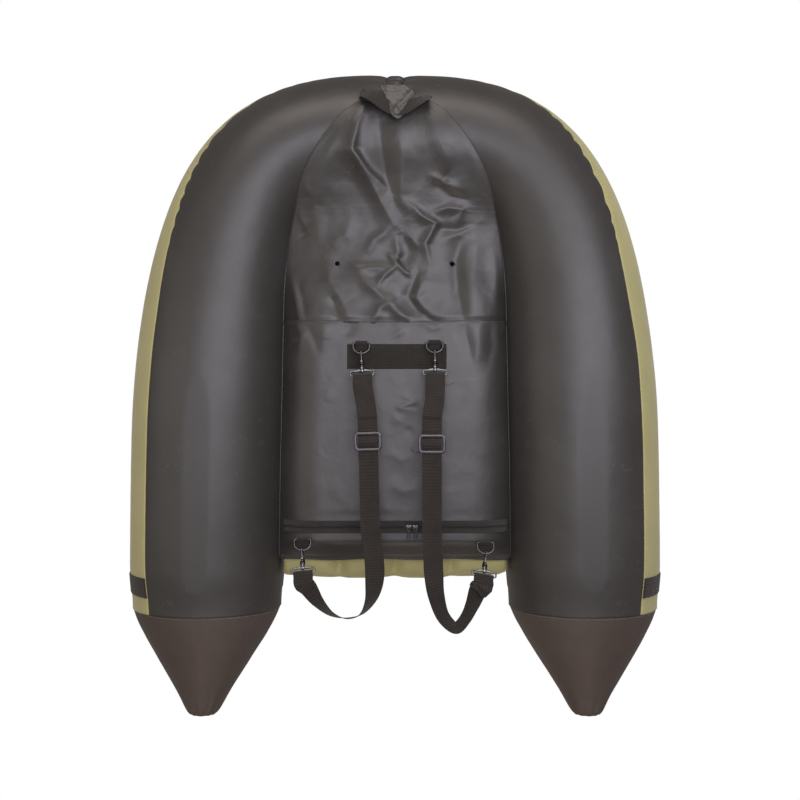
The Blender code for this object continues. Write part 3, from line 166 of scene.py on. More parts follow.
# Seen at a grazing angle from below, these two would put a haze on the tubes' outlines
for over in (soft_box("box_above", (1.5, -2.0, 2.6), (0, 0, 0.1), 1.6, 1.6, 80, "FFFFFF"),
             soft_box("box_above_rear", (-1.8, 2.2, 2.2), (0, 0, 0.1), 1.2, 1.2, 35, "FFFFFF")):
    over.visible_glossy = False

world = bpy.data.worlds.new("studio")
bpy.context.scene.world = world
world.use_nodes = True
tree = world.node_tree
tree.nodes.clear()
path = add_node(tree, "LightPath")
dim = add_node(tree, "Background", {"Color": hex_colour("FBF1E8"), "Strength": 0.34})
white = add_node(tree, "Background", {"Color": (1, 1, 1, 1), "Strength": 1.0})
both = add_node(tree, "MixShader",
                {0: path.outputs["Is Camera Ray"], 1: dim, 2: white})
add_node(tree, "OutputWorld", {"Surface": both})
print("camera, floor and lights are in place")

# %% [markdown]
# ## Coated cloth
#
# The hull and the floor panels are polyester cloth with a PVC coating, and the upper cover is the same
# cloth with a thinner coating, so more of its weave is left to see. The coating is a satin plastic film:
# it gives one broad soft highlight and shows every crease. The weave, the slight cloudiness of the film
# and the small scuffs are drawn on the piece's own UV map, which is in metres, so a thread keeps its size.
#
# The threads are about 0.5 mm apart. That is too fine for the picture, so they are drawn at 1.3 mm.

# %% Coated cloth
THREAD_SPACING = 0.0013
# A Wave texture repeats once in 2 pi / (20 x its scale) metres
WAVE_TEXTURE_TURN = 20


def weave_height(tree, place):
    """Height of a plain weave: two sets of threads at right angles."""
    scale = 2 * math.pi / (WAVE_TEXTURE_TURN * THREAD_SPACING)
    warp, weft = (add_node(tree, "TexWave", {"Vector": place, "Scale": scale, "Distortion": 0.4, "Detail": 1.0},
                           bands_direction=way) for way in ("X", "Y"))
    return add_node(tree, "Math", {0: warp.outputs[1], 1: weft.outputs[1]}, operation="MULTIPLY")


def coated_cloth(name, code, dark_code, rough, weave_depth, crease_depth, sheen=0.0):
    """Clouds of 140 mm, creases of 40 mm, scuffs of 30 mm and a grain of 2.4 mm: one over each scale."""
    made, tree = new_finish(name)
    place = add_node(tree, "TexCoord").outputs["UV"]
    cloud = add_node(tree, "TexNoise", {"Vector": place, "Scale": 7.0, "Detail": 4.0, "Roughness": 0.55})
    grain = add_node(tree, "TexNoise", {"Vector": place, "Scale": 420.0, "Detail": 3.0})
    shade = add_node(tree, "MapRange", {"Value": cloud, "From Min": 0.32, "From Max": 0.68,
                                        "To Min": 0.0, "To Max": 1.0})
    colour = add_node(tree, "Mix", {0: shade, 6: hex_colour(dark_code), 7: hex_colour(code)}, data_type="RGBA")
    scuff = add_node(tree, "TexNoise", {"Vector": place, "Scale": 34.0, "Detail": 8.0, "Roughness": 0.7,
                                        "Distortion": 1.6})
    scuffed = add_node(tree, "MapRange", {"Value": scuff, "From Min": 0.60, "From Max": 0.78,
                                          "To Min": 0.0, "To Max": 0.16})
    worn = add_node(tree, "Mix", {0: scuffed, 6: colour.outputs[2], 7: hex_colour("8A857E")}, data_type="RGBA")
    gloss = add_node(tree, "MapRange", {"Value": scuff, "From Min": 0.25, "From Max": 0.75,
                                        "To Min": rough - 0.035, "To Max": rough + 0.06})
    weave = weave_height(tree, place)
    crease = add_node(tree, "TexNoise", {"Vector": place, "Scale": 26.0, "Detail": 5.0, "Roughness": 0.45,
                                         "Distortion": 0.8})
    low = add_node(tree, "Bump", {"Height": crease, "Distance": crease_depth, "Strength": 0.55})
    mid = add_node(tree, "Bump", {"Height": weave, "Distance": weave_depth, "Strength": 0.7, "Normal": low})
    fine = add_node(tree, "Bump", {"Height": grain, "Distance": 0.00004, "Strength": 0.5, "Normal": mid})
    shader = add_node(tree, "BsdfPrincipled", {"Base Color": worn.outputs[2], "Roughness": gloss, "IOR": 1.5,
                                               "Specular IOR Level": 0.5, "Sheen Weight": sheen, "Normal": fine})
    close_finish(tree, shader)
    return made


HULL_PVC = coated_cloth("black_pvc_coated_cloth", "2B2928", "252322", 0.44, 0.00003, 0.0005)
PANEL_PVC = coated_cloth("black_pvc_panel_cloth", "2C2A29", "232120", 0.40, 0.00004, 0.0014)
OLIVE_CLOTH = coated_cloth("olive_coated_oxford_cloth", "938F60", "8A8659", 0.60, 0.00012, 0.0007, 0.15)
CONE_PVC = coated_cloth("brown_black_cone_cloth", "3F3531", "372E2A", 0.55, 0.00006, 0.0009)
print("coated cloths:", HULL_PVC.name, PANEL_PVC.name, OLIVE_CLOTH.name, CONE_PVC.name)

# %% [markdown]
# ## Webbing, plated steel, moulded nylon and thread
#
# The straps are woven polypropylene webbing. Its herringbone ribs catch the light as small slanted lines,
# which a sine along the strap gives when its phase goes to and fro across the width. The same sine paints the
# crests lighter and the grooves darker, as painted highlight and painted shade. The ribs are about
# 1.8 mm apart on the real strap. They are drawn at 5 mm, or the picture would lose them.
#
# Rings, hooks and adjusters are die-cast zinc and bent steel wire with a dark nickel plating. Its edges and
# thin rods are painted brighter, partly as rubbed wear and partly as a painted highlight. The plating is
# slightly uneven, so the roughness varies over a centimetre or two.

# %% Webbing
RIB_SPACING = 0.0050
HERRINGBONE_WIDTH = 0.0064


def webbing(name, code, painted_groove_shade_code, rib=RIB_SPACING, column=HERRINGBONE_WIDTH):
    """Woven ribs that slant to and fro, with a fuzz of 1 mm and fading over 33 mm."""
    made, tree = new_finish(name)
    place = add_node(tree, "TexCoord").outputs["UV"]
    # The phase goes to and fro across the width, so the ribs slant one way and then the other
    split = add_node(tree, "SeparateXYZ", {0: place})
    zig = add_node(tree, "Math", {0: split.outputs[1], 1: column / 2}, operation="PINGPONG")
    slant = add_node(tree, "Math", {0: split, 1: zig}, operation="ADD")
    turn = add_node(tree, "Math", {0: slant, 1: 2 * math.pi / rib}, operation="MULTIPLY")
    ribs = add_node(tree, "Math", {0: turn}, operation="SINE")
    height = add_node(tree, "MapRange", {"Value": ribs, "From Min": -1.0, "From Max": 1.0})
    fuzz = add_node(tree, "TexNoise", {"Vector": place, "Scale": 900.0, "Detail": 2.0})
    patch = add_node(tree, "TexNoise", {"Vector": place, "Scale": 30.0, "Detail": 3.0})
    # The rib height paints the crests lighter and the grooves darker: painted highlight on the crests, painted
    # shade in the grooves
    colour = add_node(tree, "Mix", {0: height, 6: hex_colour(painted_groove_shade_code), 7: hex_colour(code)},
                      data_type="RGBA")
    faded = add_node(tree, "Mix", {0: patch, 6: colour.outputs[2], 7: hex_colour("4A443D")},
                     data_type="RGBA", blend_type="SOFT_LIGHT")
    low = add_node(tree, "Bump", {"Height": height, "Distance": 0.0007, "Strength": 1.0})
    fine = add_node(tree, "Bump", {"Height": fuzz, "Distance": 0.00015, "Strength": 0.6, "Normal": low})
    shader = add_node(tree, "BsdfPrincipled",
                      {"Base Color": faded.outputs[2], "Roughness": 0.72, "IOR": 1.49, "Specular IOR Level": 0.27,
                       "Sheen Weight": 0.10, "Sheen Roughness": 0.5, "Normal": fine})
    close_finish(tree, shader)
    return made


BLACK_WEBBING = webbing("black_polypropylene_webbing", "332C26", "14110F")
PATCH_WEBBING = webbing("black_patch_webbing", "2E2822", "14110F", 0.0050, 0.0500)
TAPE_WEAVE = webbing("black_zip_tape", "393633", "2A2725", 0.0014, 0.0040)


# %% Plated steel, nylon, film and thread
def plated_steel(name, code, edge_wear_and_highlight_code, rough):
    """Patches of 11 mm, pits of 1 mm; edges and thin rods take the second colour: rubbed wear and a painted
    highlight.
    """
    made, tree = new_finish(name)
    place = add_node(tree, "TexCoord").outputs["Object"]
    cloud = add_node(tree, "TexNoise", {"Vector": place, "Scale": 90.0, "Detail": 3.0})
    pits = add_node(tree, "TexNoise", {"Vector": place, "Scale": 900.0, "Detail": 2.0})
    # Edges and thin rods are painted towards the second colour: partly rubbed wear, partly a painted highlight
    edge = add_node(tree, "NewGeometry").outputs["Pointiness"]
    edge_wear_and_highlight_mask = add_node(tree, "MapRange", {"Value": edge, "From Min": 0.52, "From Max": 0.60})
    patchy_edge_wear_and_highlight = add_node(tree, "Math", {0: edge_wear_and_highlight_mask, 1: cloud}, operation="MULTIPLY")
    colour = add_node(tree, "Mix", {0: patchy_edge_wear_and_highlight, 6: hex_colour(code), 7: hex_colour(edge_wear_and_highlight_code)},
                      data_type="RGBA")
    gloss = add_node(tree, "MapRange", {"Value": cloud, "From Min": 0.3, "From Max": 0.7,
                                        "To Min": rough - 0.05, "To Max": rough + 0.06})
    bump = add_node(tree, "Bump", {"Height": pits, "Distance": 0.00002, "Strength": 0.2})
    shader = add_node(tree, "BsdfPrincipled",
                      {"Base Color": colour.outputs[2], "Metallic": 1.0, "Roughness": gloss, "Normal": bump})
    close_finish(tree, shader)
    return made


def moulded(name, code, rough, grain_scale, sheen=0.0):
    """Plastic with a grain of one over grain_scale metres: 1.1 mm on nylon, 6 mm on film, 0.4 mm on thread."""
    made, tree = new_finish(name)
    place = add_node(tree, "TexCoord").outputs["Object"]
    grain = add_node(tree, "TexNoise", {"Vector": place, "Scale": grain_scale, "Detail": 3.0})
    cloud = add_node(tree, "TexNoise", {"Vector": place, "Scale": grain_scale / 12, "Detail": 2.0})
    tone = add_node(tree, "Mix", {0: cloud, 6: hex_colour(code), 7: hex_colour("3A3836")},
                    data_type="RGBA", blend_type="SOFT_LIGHT")
    gloss = add_node(tree, "MapRange", {"Value": cloud, "To Min": rough - 0.06, "To Max": rough + 0.08})
    bump = add_node(tree, "Bump", {"Height": grain, "Distance": 0.0001, "Strength": 0.4})
    shader = add_node(tree, "BsdfPrincipled", {"Base Color": tone.outputs[2], "Roughness": gloss, "IOR": 1.53,
                                               "Sheen Weight": sheen, "Normal": bump})
    close_finish(tree, shader)
    return made


DARK_NICKEL = plated_steel("dark_nickel_plating", "47474A", "7C7D81", 0.31)
BRIGHT_NICKEL = plated_steel("polished_nickel_plating", "5A5B5E", "97999E", 0.24)
NYLON = moulded("moulded_black_nylon", "1B1A1A", 0.48, 900.0)
BLADDER_FILM = moulded("polyurethane_bladder_film", "29292B", 0.38, 160.0)
BLACK_THREAD = moulded("black_bonded_thread", "141210", 0.60, 2500.0, 0.2)
GREY_THREAD = moulded("grey_bonded_thread", "A0978C", 0.60, 2500.0, 0.2)
print("webbing, metal, nylon and thread are ready")

# %% [markdown]
# ## The form of an air tube
#
# Each tube follows one cubic curve in plan, from the cone seam forward to the closed end, where the two
# meet. Its section is round, a little pinched at the cone seam and thinner towards the closed end. The
# same few numbers as in the solid model give its middle line and its radius, so a point on the skin is
# named by two values: its share of the tube's length, and its angle round the tube from straight down.

# %% Middle line and radius of a tube
TUBE_RADIUS, TUBE_END_RADIUS, SEAM_RADIUS = 0.158, 0.115, 0.1525
AXIS_HALF_SPACING, SEAM_Y, REAR_AXIS_Y = 0.3895, -0.4385 + SHIFT_Y, 0.5446 + SHIFT_Y
FRONT_HANDLE, REAR_HANDLE, GATHER_WIDTH = 0.800, 0.352, 0.028
AXIS_HEIGHT = TUBE_RADIUS * math.cos(math.radians(9))
CLOTH = 0.001
CLOSING = ((0.93, 1), (0.974, 0.992), (0.988, 0.980), (0.996, 0.960), (1, 0.935))
OUTER_SEAM = ((0, 40), (0.1, 42), (0.5, 42), (0.64, 46.5), (0.72, 53), (0.80, 65), (0.86, 80), (0.93, 90), (1, 96))
# The seam on the tubes' inner sides, high enough to be out of sight from below
INNER_SEAM_DEGREES = -100
# A tube's skin is pressed flat below this height, within this reach
FLAT_Z, FLAT_REACH = 0.0006, 0.002
SIDES = (("left", 1), ("right", -1))
SIDEWAYS, UPWARDS, DOWN = Vector((1, 0, 0)), Vector((0, 0, 1)), Vector((0, 0, -1))


def ease(value):
    value = min(max(value, 0.0), 1.0)
    return value * value * (3 - 2 * value)


def bell(off, width):
    """1 at 0, falling softly to nothing about two widths away."""
    return math.exp(-(off / width) ** 2)


def mirrored(point, side):
    return Vector((point.x * side, point.y, point.z))


def blend_table(table, share):
    """Value at a share, on straight lines between the (share, value) pairs of a table."""
    if share <= table[0][0]:
        return table[0][1]
    for (a, low), (b, high) in zip(table, table[1:]):
        if share <= b:
            return low + (high - low) * (share - a) / (b - a)
    return table[-1][1]


def smooth_table(table, share, reach=0.02):
    """The same, rounded off where two runs of the table meet."""
    return sum(blend_table(table, share + reach * k) for k in (-1, -0.5, 0, 0.5, 1)) / 5


def make_middle_line(samples=800):
    p0 = Vector((AXIS_HALF_SPACING, SEAM_Y, AXIS_HEIGHT))
    p1 = p0 + Vector((0, FRONT_HANDLE, 0))
    p3 = Vector((GATHER_WIDTH / 2, REAR_AXIS_Y, AXIS_HEIGHT))
    p2 = p3 + Vector((REAR_HANDLE, 0, 0))
    points = []
    for i in range(samples + 1):
        t, u = i / samples, 1 - i / samples
        points.append(p0 * u ** 3 + p1 * (3 * u * u * t) + p2 * (3 * u * t * t) + p3 * t ** 3)
    return points


def run_lengths(points):
    """Distance run at each point of a path."""
    lengths = [0.0]
    for a, b in zip(points, points[1:]):
        lengths.append(lengths[-1] + (b - a).length)
    return lengths


MIDDLE = make_middle_line()
MIDDLE_LENGTHS = run_lengths(MIDDLE)
TUBE_LENGTH = MIDDLE_LENGTHS[-1]


@lru_cache(maxsize=None)
def middle_line(share):
    """Point on the middle line and the outward direction there."""
    target = min(max(share, 0), 1) * TUBE_LENGTH
    high = min(max(bisect_left(MIDDLE_LENGTHS, target), 1), len(MIDDLE) - 1)
    low = high - 1
    part = (target - MIDDLE_LENGTHS[low]) / (MIDDLE_LENGTHS[high] - MIDDLE_LENGTHS[low])
    point = MIDDLE[low].lerp(MIDDLE[high], part)
    along = (MIDDLE[min(high + 1, len(MIDDLE) - 1)] - MIDDLE[max(low - 1, 0)]).normalized()
    return point, Vector((along.y, -along.x, 0))


@lru_cache(maxsize=None)
def tube_radius(share):
    pinch = SEAM_RADIUS + (TUBE_RADIUS - SEAM_RADIUS) * ease(share / 0.075)
    taper = ease((share - 0.30) / 0.70)
    return (pinch + (TUBE_END_RADIUS - TUBE_RADIUS) * taper) * blend_table(CLOSING, share)


@lru_cache(maxsize=None)
def outer_seam(share):
    return smooth_table(OUTER_SEAM, share)


def on_tube(share, degrees, lift=0.0, side=1):
    """Point on or off a tube's skin. The tube is pressed flat where it rests on the ground."""
    centre, out = middle_line(share)
    turn = math.radians(degrees)
    reach = tube_radius(share) + lift
    point = centre + out * (math.sin(turn) * reach) + Vector((0, 0, -math.cos(turn) * reach))
    if point.z < FLAT_Z:
        point.z = FLAT_Z * math.exp((point.z - FLAT_Z) / FLAT_REACH)
    return mirrored(point, side)


def last_share(low, high, holds, halvings):
    """Last share between low and high where the middle line's point still holds a test."""
    for _ in range(halvings):
        mid = (low + high) / 2
        low, high = (mid, high) if holds(middle_line(mid)[0]) else (low, mid)
    return low


def share_at_y(y):
    return last_share(0.0, 0.9, lambda point: point.y < y, 40)


print("one tube is %.3f m long on its middle line" % TUBE_LENGTH)

# %% [markdown]
# ## Laying cloth
#
# A cloth piece starts flat, as it comes off the roll: a grid from Blender's own operator, whose UV map is
# given in metres. Each of its points is then moved onto the form. That keeps the threads running along the
# piece, which a remeshed surface wouldn't, and the fold lines go where they are wanted. Solidify gives the
# cloth its thickness on the inner side, so the outer face stays where it was laid.

# %% Lay a cloth piece
def object_from(bm, name, finish, body="hull", replaces=()):
    """Turn a bmesh into a piece that rides on a body, if one is named, and may stand for CAD nodes."""
    data = mesh_from(bm, name)
    data.materials.append(finish)
    data.shade_smooth()
    made = add_object(name, data)
    if body:
        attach(made, body)
    if replaces:
        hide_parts(*replaces)
    return made


def cloth_grid(columns, rows, place, size, closed=False):
    """Grid of columns x rows laid by place(u, v), with u and v from 0 to 1 and size its flat size."""
    bm = bmesh.new()
    uv = bm.loops.layers.uv.new("cloth")
    bmesh.ops.create_grid(bm, x_segments=columns, y_segments=rows, size=0.5, calc_uvs=True)
    for face in bm.faces:
        for loop in face.loops:
            u, v = loop[uv].uv
            loop[uv].uv = (u * size[0], v * size[1])
    for vert in bm.verts:
        vert.co = place(round(vert.co.x + 0.5, 6), round(vert.co.y + 0.5, 6))
    if closed:
        bmesh.ops.remove_doubles(bm, verts=bm.verts, dist=0.00002)
    return bm


def from_tube(side):
    """Direction away from a tube's straight run, for face_out."""
    return lambda centre: centre - Vector((AXIS_HALF_SPACING * side, centre.y, AXIS_HEIGHT))


def face_out(bm, outward):
    """Turn the grid over if its middle face doesn't look along outward(centre), or along a vector."""
    bm.normal_update()
    bm.faces.ensure_lookup_table()
    middle = bm.faces[len(bm.faces) // 2]
    way = outward(middle.calc_center_median()) if callable(outward) else outward
    if middle.normal.dot(way) < 0:
        bmesh.ops.reverse_faces(bm, faces=bm.faces)


def lay_cloth(bm, name, outward, finish, replaced, thickness=CLOTH):
    """Make a laid grid a piece of cloth, with its wall on the inner side. Gives the piece and its area."""
    face_out(bm, outward)
    made = object_from(bm, name, finish, replaces=replaced)
    area = sum(face.area for face in made.data.polygons)
    wall = made.modifiers.new("cloth_thickness", "SOLIDIFY")
    wall.thickness = thickness
    wall.offset = -1
    wall.use_rim = True
    wall.use_even_offset = False
    print("%s: %.4f m2 of cloth" % (name, area))
    return made, area

# %% [markdown]
# ## Hull skins
#
# Each tube is sewn from two skins. The black one underneath is glossy and tight, so most of it has no
# folds at all. Only the seam is not quite smooth: where the tube bends inwards, the longer outer edge is
# eased onto the shorter one, and the seam runs in small scallops with puckers beside it. At the closed end
# the skins are drawn together in pleats.
#
# Both skins read one relief function, so their edges meet all along the seam.

# %% Relief of the skins
SCALLOP_LENGTH = 0.031
GROOVE_DEPTH, GROOVE_WIDTH = 0.0011, 0.0028
PUCKER_DEPTH, PUCKER_REACH = 0.0013, 0.016
END_PLEATS, END_PLEAT_DEPTH = 15, 0.0042


def bend_share(share):
    """1 in the bend of the tube, 0 on its straight run and at its end."""
    return ease((share - 0.56) / 0.12) * ease((0.955 - share) / 0.06)


@lru_cache(maxsize=None)
def scallop(share, side):
    """Degrees by which the outer seam swings to and fro."""
    along = share * TUBE_LENGTH
    drift = noise.noise((along * 9, side * 3.0, 0.5))
    swing = abs(math.sin(math.pi * (along / SCALLOP_LENGTH + drift * 0.9)))
    return bend_share(share) * (2.3 * swing + 1.3 * drift) + 0.35 * drift


def seam_line(share, side):
    """The seam lies a little further under the right tube than under the left one."""
    shift = 4.5 * ease((share - 0.40) / 0.2) * ease((0.94 - share) / 0.1) if side < 0 else 0.0
    return outer_seam(share) - shift + scallop(share, side)


def skin_relief(share, degrees, side):
    """Height of the skin over the plain round tube."""
    radius, along, turn = tube_radius(share), share * TUBE_LENGTH, math.radians(degrees)
    bend = bend_share(share)
    off = abs(degrees - seam_line(share, side)) * math.pi / 180 * radius
    away = degrees - INNER_SEAM_DEGREES
    off_inner = min(abs(away), abs(away - 360)) * math.pi / 180 * radius
    groove = GROOVE_DEPTH * ((1 + 0.9 * bend) * bell(off, GROOVE_WIDTH) + bell(off_inner, GROOVE_WIDTH))
    phase = math.pi * (along / SCALLOP_LENGTH + noise.noise((along * 9, side * 3.0, 0.5)) * 0.9)
    pucker = PUCKER_DEPTH * (bend + 0.10) * (1 - abs(math.sin(phase))) * math.exp(-off / PUCKER_REACH)
    closing = ease((share - 0.945) / 0.055)
    swing = math.cos(END_PLEATS * turn + 1.5 * noise.noise((turn, side * 2.0, 3)))
    pleat = closing ** 2 * END_PLEAT_DEPTH * (0.5 - 0.5 * swing)
    wide = 0.0007 * noise.noise((along * 5, turn * 1.1, side * 4.0))
    fine = 0.00022 * noise.noise((along * 26, turn * 5.0, side * 9.0))
    return wide + fine - groove - pucker - pleat


# %% Lower skins
SKIN_COLUMNS, LOWER_ROWS, UPPER_ROWS = 340, 84, 120


def tube_cloth(word, name, side, rows, low_edge, high_edge, finish, replaced):
    """Cloth along one tube between two edges, given as degrees at a share."""
    width = TUBE_RADIUS * math.radians(high_edge(0.3) - low_edge(0.3))

    def place(u, v):
        low, high = low_edge(u), high_edge(u)
        degrees = low + (high - low) * v
        return on_tube(u, degrees, skin_relief(u, degrees, side), side)

    bm = cloth_grid(SKIN_COLUMNS, rows, place, (TUBE_LENGTH, width))
    made, area = lay_cloth(bm, word + name, from_tube(side), finish, (word + replaced,))


for word, side in SIDES:
    tube_cloth(word, "_hull_skin", side, LOWER_ROWS, lambda s: INNER_SEAM_DEGREES, lambda s: seam_line(s, side),
               HULL_PVC, "_lower_skin")

# %% [markdown]
# The olive cover is the other half of the tube's skin: from the outer seam over the top and down to the
# inner seam. It is a lighter coated cloth with the weave showing through.

# %% Olive covers
for word, side in SIDES:
    tube_cloth(word, "_olive_cover", side, UPPER_ROWS, lambda s: seam_line(s, side),
               lambda s: INNER_SEAM_DEGREES + 360, OLIVE_CLOTH, "_upper_cover")

# %% [markdown]
# Each open end of the hull is closed by a cone, sewn from brown-black cloth. It is drawn in quickly behind
# the seam, runs nearly straight and ends in a small blunt tip. Four seams run along it. The piece starts as
# a grid that is rolled into a cone, and the last rows of the grid are gathered to a pole that closes the tip.

# %% Cones
CONE_LENGTH, CONE_TIP_RADIUS, CONE_TIP_SPREAD = 0.2270, 0.026, 0.010
CONE_PROFILE = ((0, 0), (0.12, 0.085), (0.30, 0.25), (0.55, 0.52), (0.80, 0.785), (0.94, 0.915),
                (0.975, 0.955), (1, 1.0))
CONE_SEAMS, CONE_SEAM_DEPTH, CONE_SEAM_WIDTH = (45, 135, 225, 315), 0.0008, 0.0022
# The last part of the grid closes the tip to a pole
POLE_SHARE, POLE_RUN = 0.985, 0.015


@lru_cache(maxsize=None)
def cone_radius(t):
    drop = blend_table(CONE_PROFILE, t) if t < 0.03 else smooth_table(CONE_PROFILE, t, 0.04 * min(1, (1 - t) * 8))
    return SEAM_RADIUS + (CONE_TIP_RADIUS - SEAM_RADIUS) * drop


def on_cone(t, degrees, lift=0.0, side=1):
    turn = math.radians(degrees)
    reach = cone_radius(t) + lift
    x = AXIS_HALF_SPACING + CONE_TIP_SPREAD * t + reach * math.sin(turn)
    return Vector((x * side, SEAM_Y - 0.0004 - t * (CONE_LENGTH - 0.0006), AXIS_HEIGHT - reach * math.cos(turn)))


def on_cone_axis(t, y, side):
    return Vector(((AXIS_HALF_SPACING + CONE_TIP_SPREAD * t) * side, y, AXIS_HEIGHT))


def cone_relief(t, degrees, side):
    """Height over the plain cone. Its noise is read round a circle, so it closes on itself."""
    turn = math.radians(degrees)
    tip = ease((t - 0.62) / 0.36)
    x, y = math.cos(turn), math.sin(turn)
    folds = 0.0010 * tip * math.cos(11 * turn + 2.2 * noise.noise((x * 1.2, y * 1.2, t * 3 + side * 5.0)))
    wide = 0.0012 * noise.noise((x * 1.5, y * 1.5, t * 4 + side * 6.0)) * math.sin(math.pi * min(t * 1.3, 1))
    seam = 0.0
    for middle in CONE_SEAMS:
        off = abs((degrees - middle + 180) % 360 - 180) * math.pi / 180 * cone_radius(t)
        seam -= CONE_SEAM_DEPTH * bell(off, CONE_SEAM_WIDTH)
    rim = -GROOVE_DEPTH * bell(t * CONE_LENGTH, 0.003)
    pucker = -0.0009 * math.exp(-t * CONE_LENGTH / 0.012) * (0.5 + 0.5 * math.cos(38 * turn))
    return folds + wide + seam + rim + pucker - 0.0008


def build_cone(word, side):
    def place(u, v):
        t, close = (1.0, max(0.0, (1 - u) / POLE_RUN)) if u > POLE_SHARE else (u / POLE_SHARE, 1.0)
        outer = on_cone(t, 360 * v, cone_relief(t, 360 * v, side), side)
        return on_cone_axis(1, outer.y - 0.0005, side).lerp(outer, close)

    bm = cloth_grid(90, 168, place, (CONE_LENGTH * 1.15, SEAM_RADIUS * 5.2), closed=True)
    made, area = lay_cloth(bm, word + "_cone_cloth", lambda c: c - on_cone_axis(1, c.y, side), CONE_PVC,
                           (word + "_end_cone",))


for word, side in SIDES:
    build_cone(word, side)

# %% [markdown]
# The bladder is a sausage of clear dark film inside the skins. Nothing of it shows, but it is what holds
# the air, so it is there, a few millimetres inside the cloth.

# %% Bladders
BLADDER_INSET, BLADDER_LOWEST_Z = 0.007, 0.004
# The grid's first part lies in the cone, the rest in the tube, where the sausage ends in a round
BLADDER_CONE_PART, BLADDER_CONE_SHARE = 0.10, 0.80
BLADDER_END, BLADDER_ROUND_FROM, BLADDER_ROUND_RUN = 0.975, 0.93, 0.045


def build_bladder(word, side):
    def place(u, v):
        if u < BLADDER_CONE_PART:
            t = BLADDER_CONE_SHARE * (1 - u / BLADDER_CONE_PART)
            round_off = math.sqrt(max(1 - max(t - 0.6, 0) ** 2 / 0.04, 0))
            rim = on_cone(t, 360 * v, -BLADDER_INSET, side)
            return on_cone_axis(t, rim.y, side).lerp(rim, round_off)
        share = (u - BLADDER_CONE_PART) / 0.90 * BLADDER_END
        close = math.sqrt(max(1 - max(share - BLADDER_ROUND_FROM, 0) ** 2 / BLADDER_ROUND_RUN ** 2, 0))
        rim = on_tube(share, 360 * v, -BLADDER_INSET, side)
        rim.z = max(rim.z, BLADDER_LOWEST_Z)
        return mirrored(middle_line(share)[0], side).lerp(rim, close)

    bm = cloth_grid(110, 40, place, (TUBE_LENGTH + 0.2, 0.95), closed=True)
    face_out(bm, from_tube(side))
    object_from(bm, word + "_air_bladder", BLADDER_FILM, replaces=(word + "_bladder",))


for word, side in SIDES:
    build_bladder(word, side)
print("bladders are inside the skins")

# %% [markdown]
# A band of black webbing cloth runs over the olive cover in front of the cone. It lies flat and tight, so
# it is a strip of grid laid around the tube, a little proud of the cover.

# %% Accent bands
BAND_WIDTH, BAND_CENTRE_Y = 0.040, -0.386 + SHIFT_Y
BAND_THICKNESS, BAND_LIFT = 0.0014, 0.0021


def build_band(word, side):
    start, end = share_at_y(BAND_CENTRE_Y - BAND_WIDTH / 2), share_at_y(BAND_CENTRE_Y + BAND_WIDTH / 2)

    def place(u, v):
        share = start + (end - start) * v
        low, high = seam_line(share, side) + 0.4, INNER_SEAM_DEGREES + 359.6
        degrees = low + (high - low) * u
        lift = BAND_LIFT + skin_relief(share, degrees, side) * 0.5
        lift -= 0.0009 * (abs(2 * v - 1) ** 10)
        return on_tube(share, degrees, lift, side)

    width = TUBE_RADIUS * math.radians(INNER_SEAM_DEGREES + 360 - outer_seam(0))
    bm = cloth_grid(220, 16, place, (width, BAND_WIDTH))
    made, _ = lay_cloth(bm, word + "_webbing_band", from_tube(side), BLACK_WEBBING, (word + "_accent_band",),
                        BAND_THICKNESS)


for word, side in SIDES:
    build_band(word, side)
print("bands are on the covers")

# %% [markdown]
# ## Floor panels
#
# Between the tubes hangs one width of the same black cloth. Its rear part is the floor of the storage
# space: it is loose, and it runs up to the closed end in long folds, with a crumple in the middle. The
# front part is the sewn pocket under the seat, which is nearly taut. A cross seam joins the two.
#
# A cloth simulation would put folds somewhere, but not where they are on this boat. So each fold is drawn
# as a line on the picture, with its width and its height, and the cloth is pushed out along it. A fold
# falls off more steeply on one side, as a real one does.

# %% From the picture to the boat, and the fold lines
PICTURE_SIZE = 800
# Pixels to a slope of 1: focal length over the sensor's 36 mm, times the picture's size
PIXELS_PER_SLOPE = 1152


def from_picture(px, py, z):
    """Place at height z that the camera sees at a pixel."""
    scale = (z - CAMERA_PLACE.z) / PIXELS_PER_SLOPE
    return Vector((CAMERA_PLACE.x - (px - PICTURE_SIZE / 2) * scale,
                   CAMERA_PLACE.y - (py - PICTURE_SIZE / 2) * scale, z))


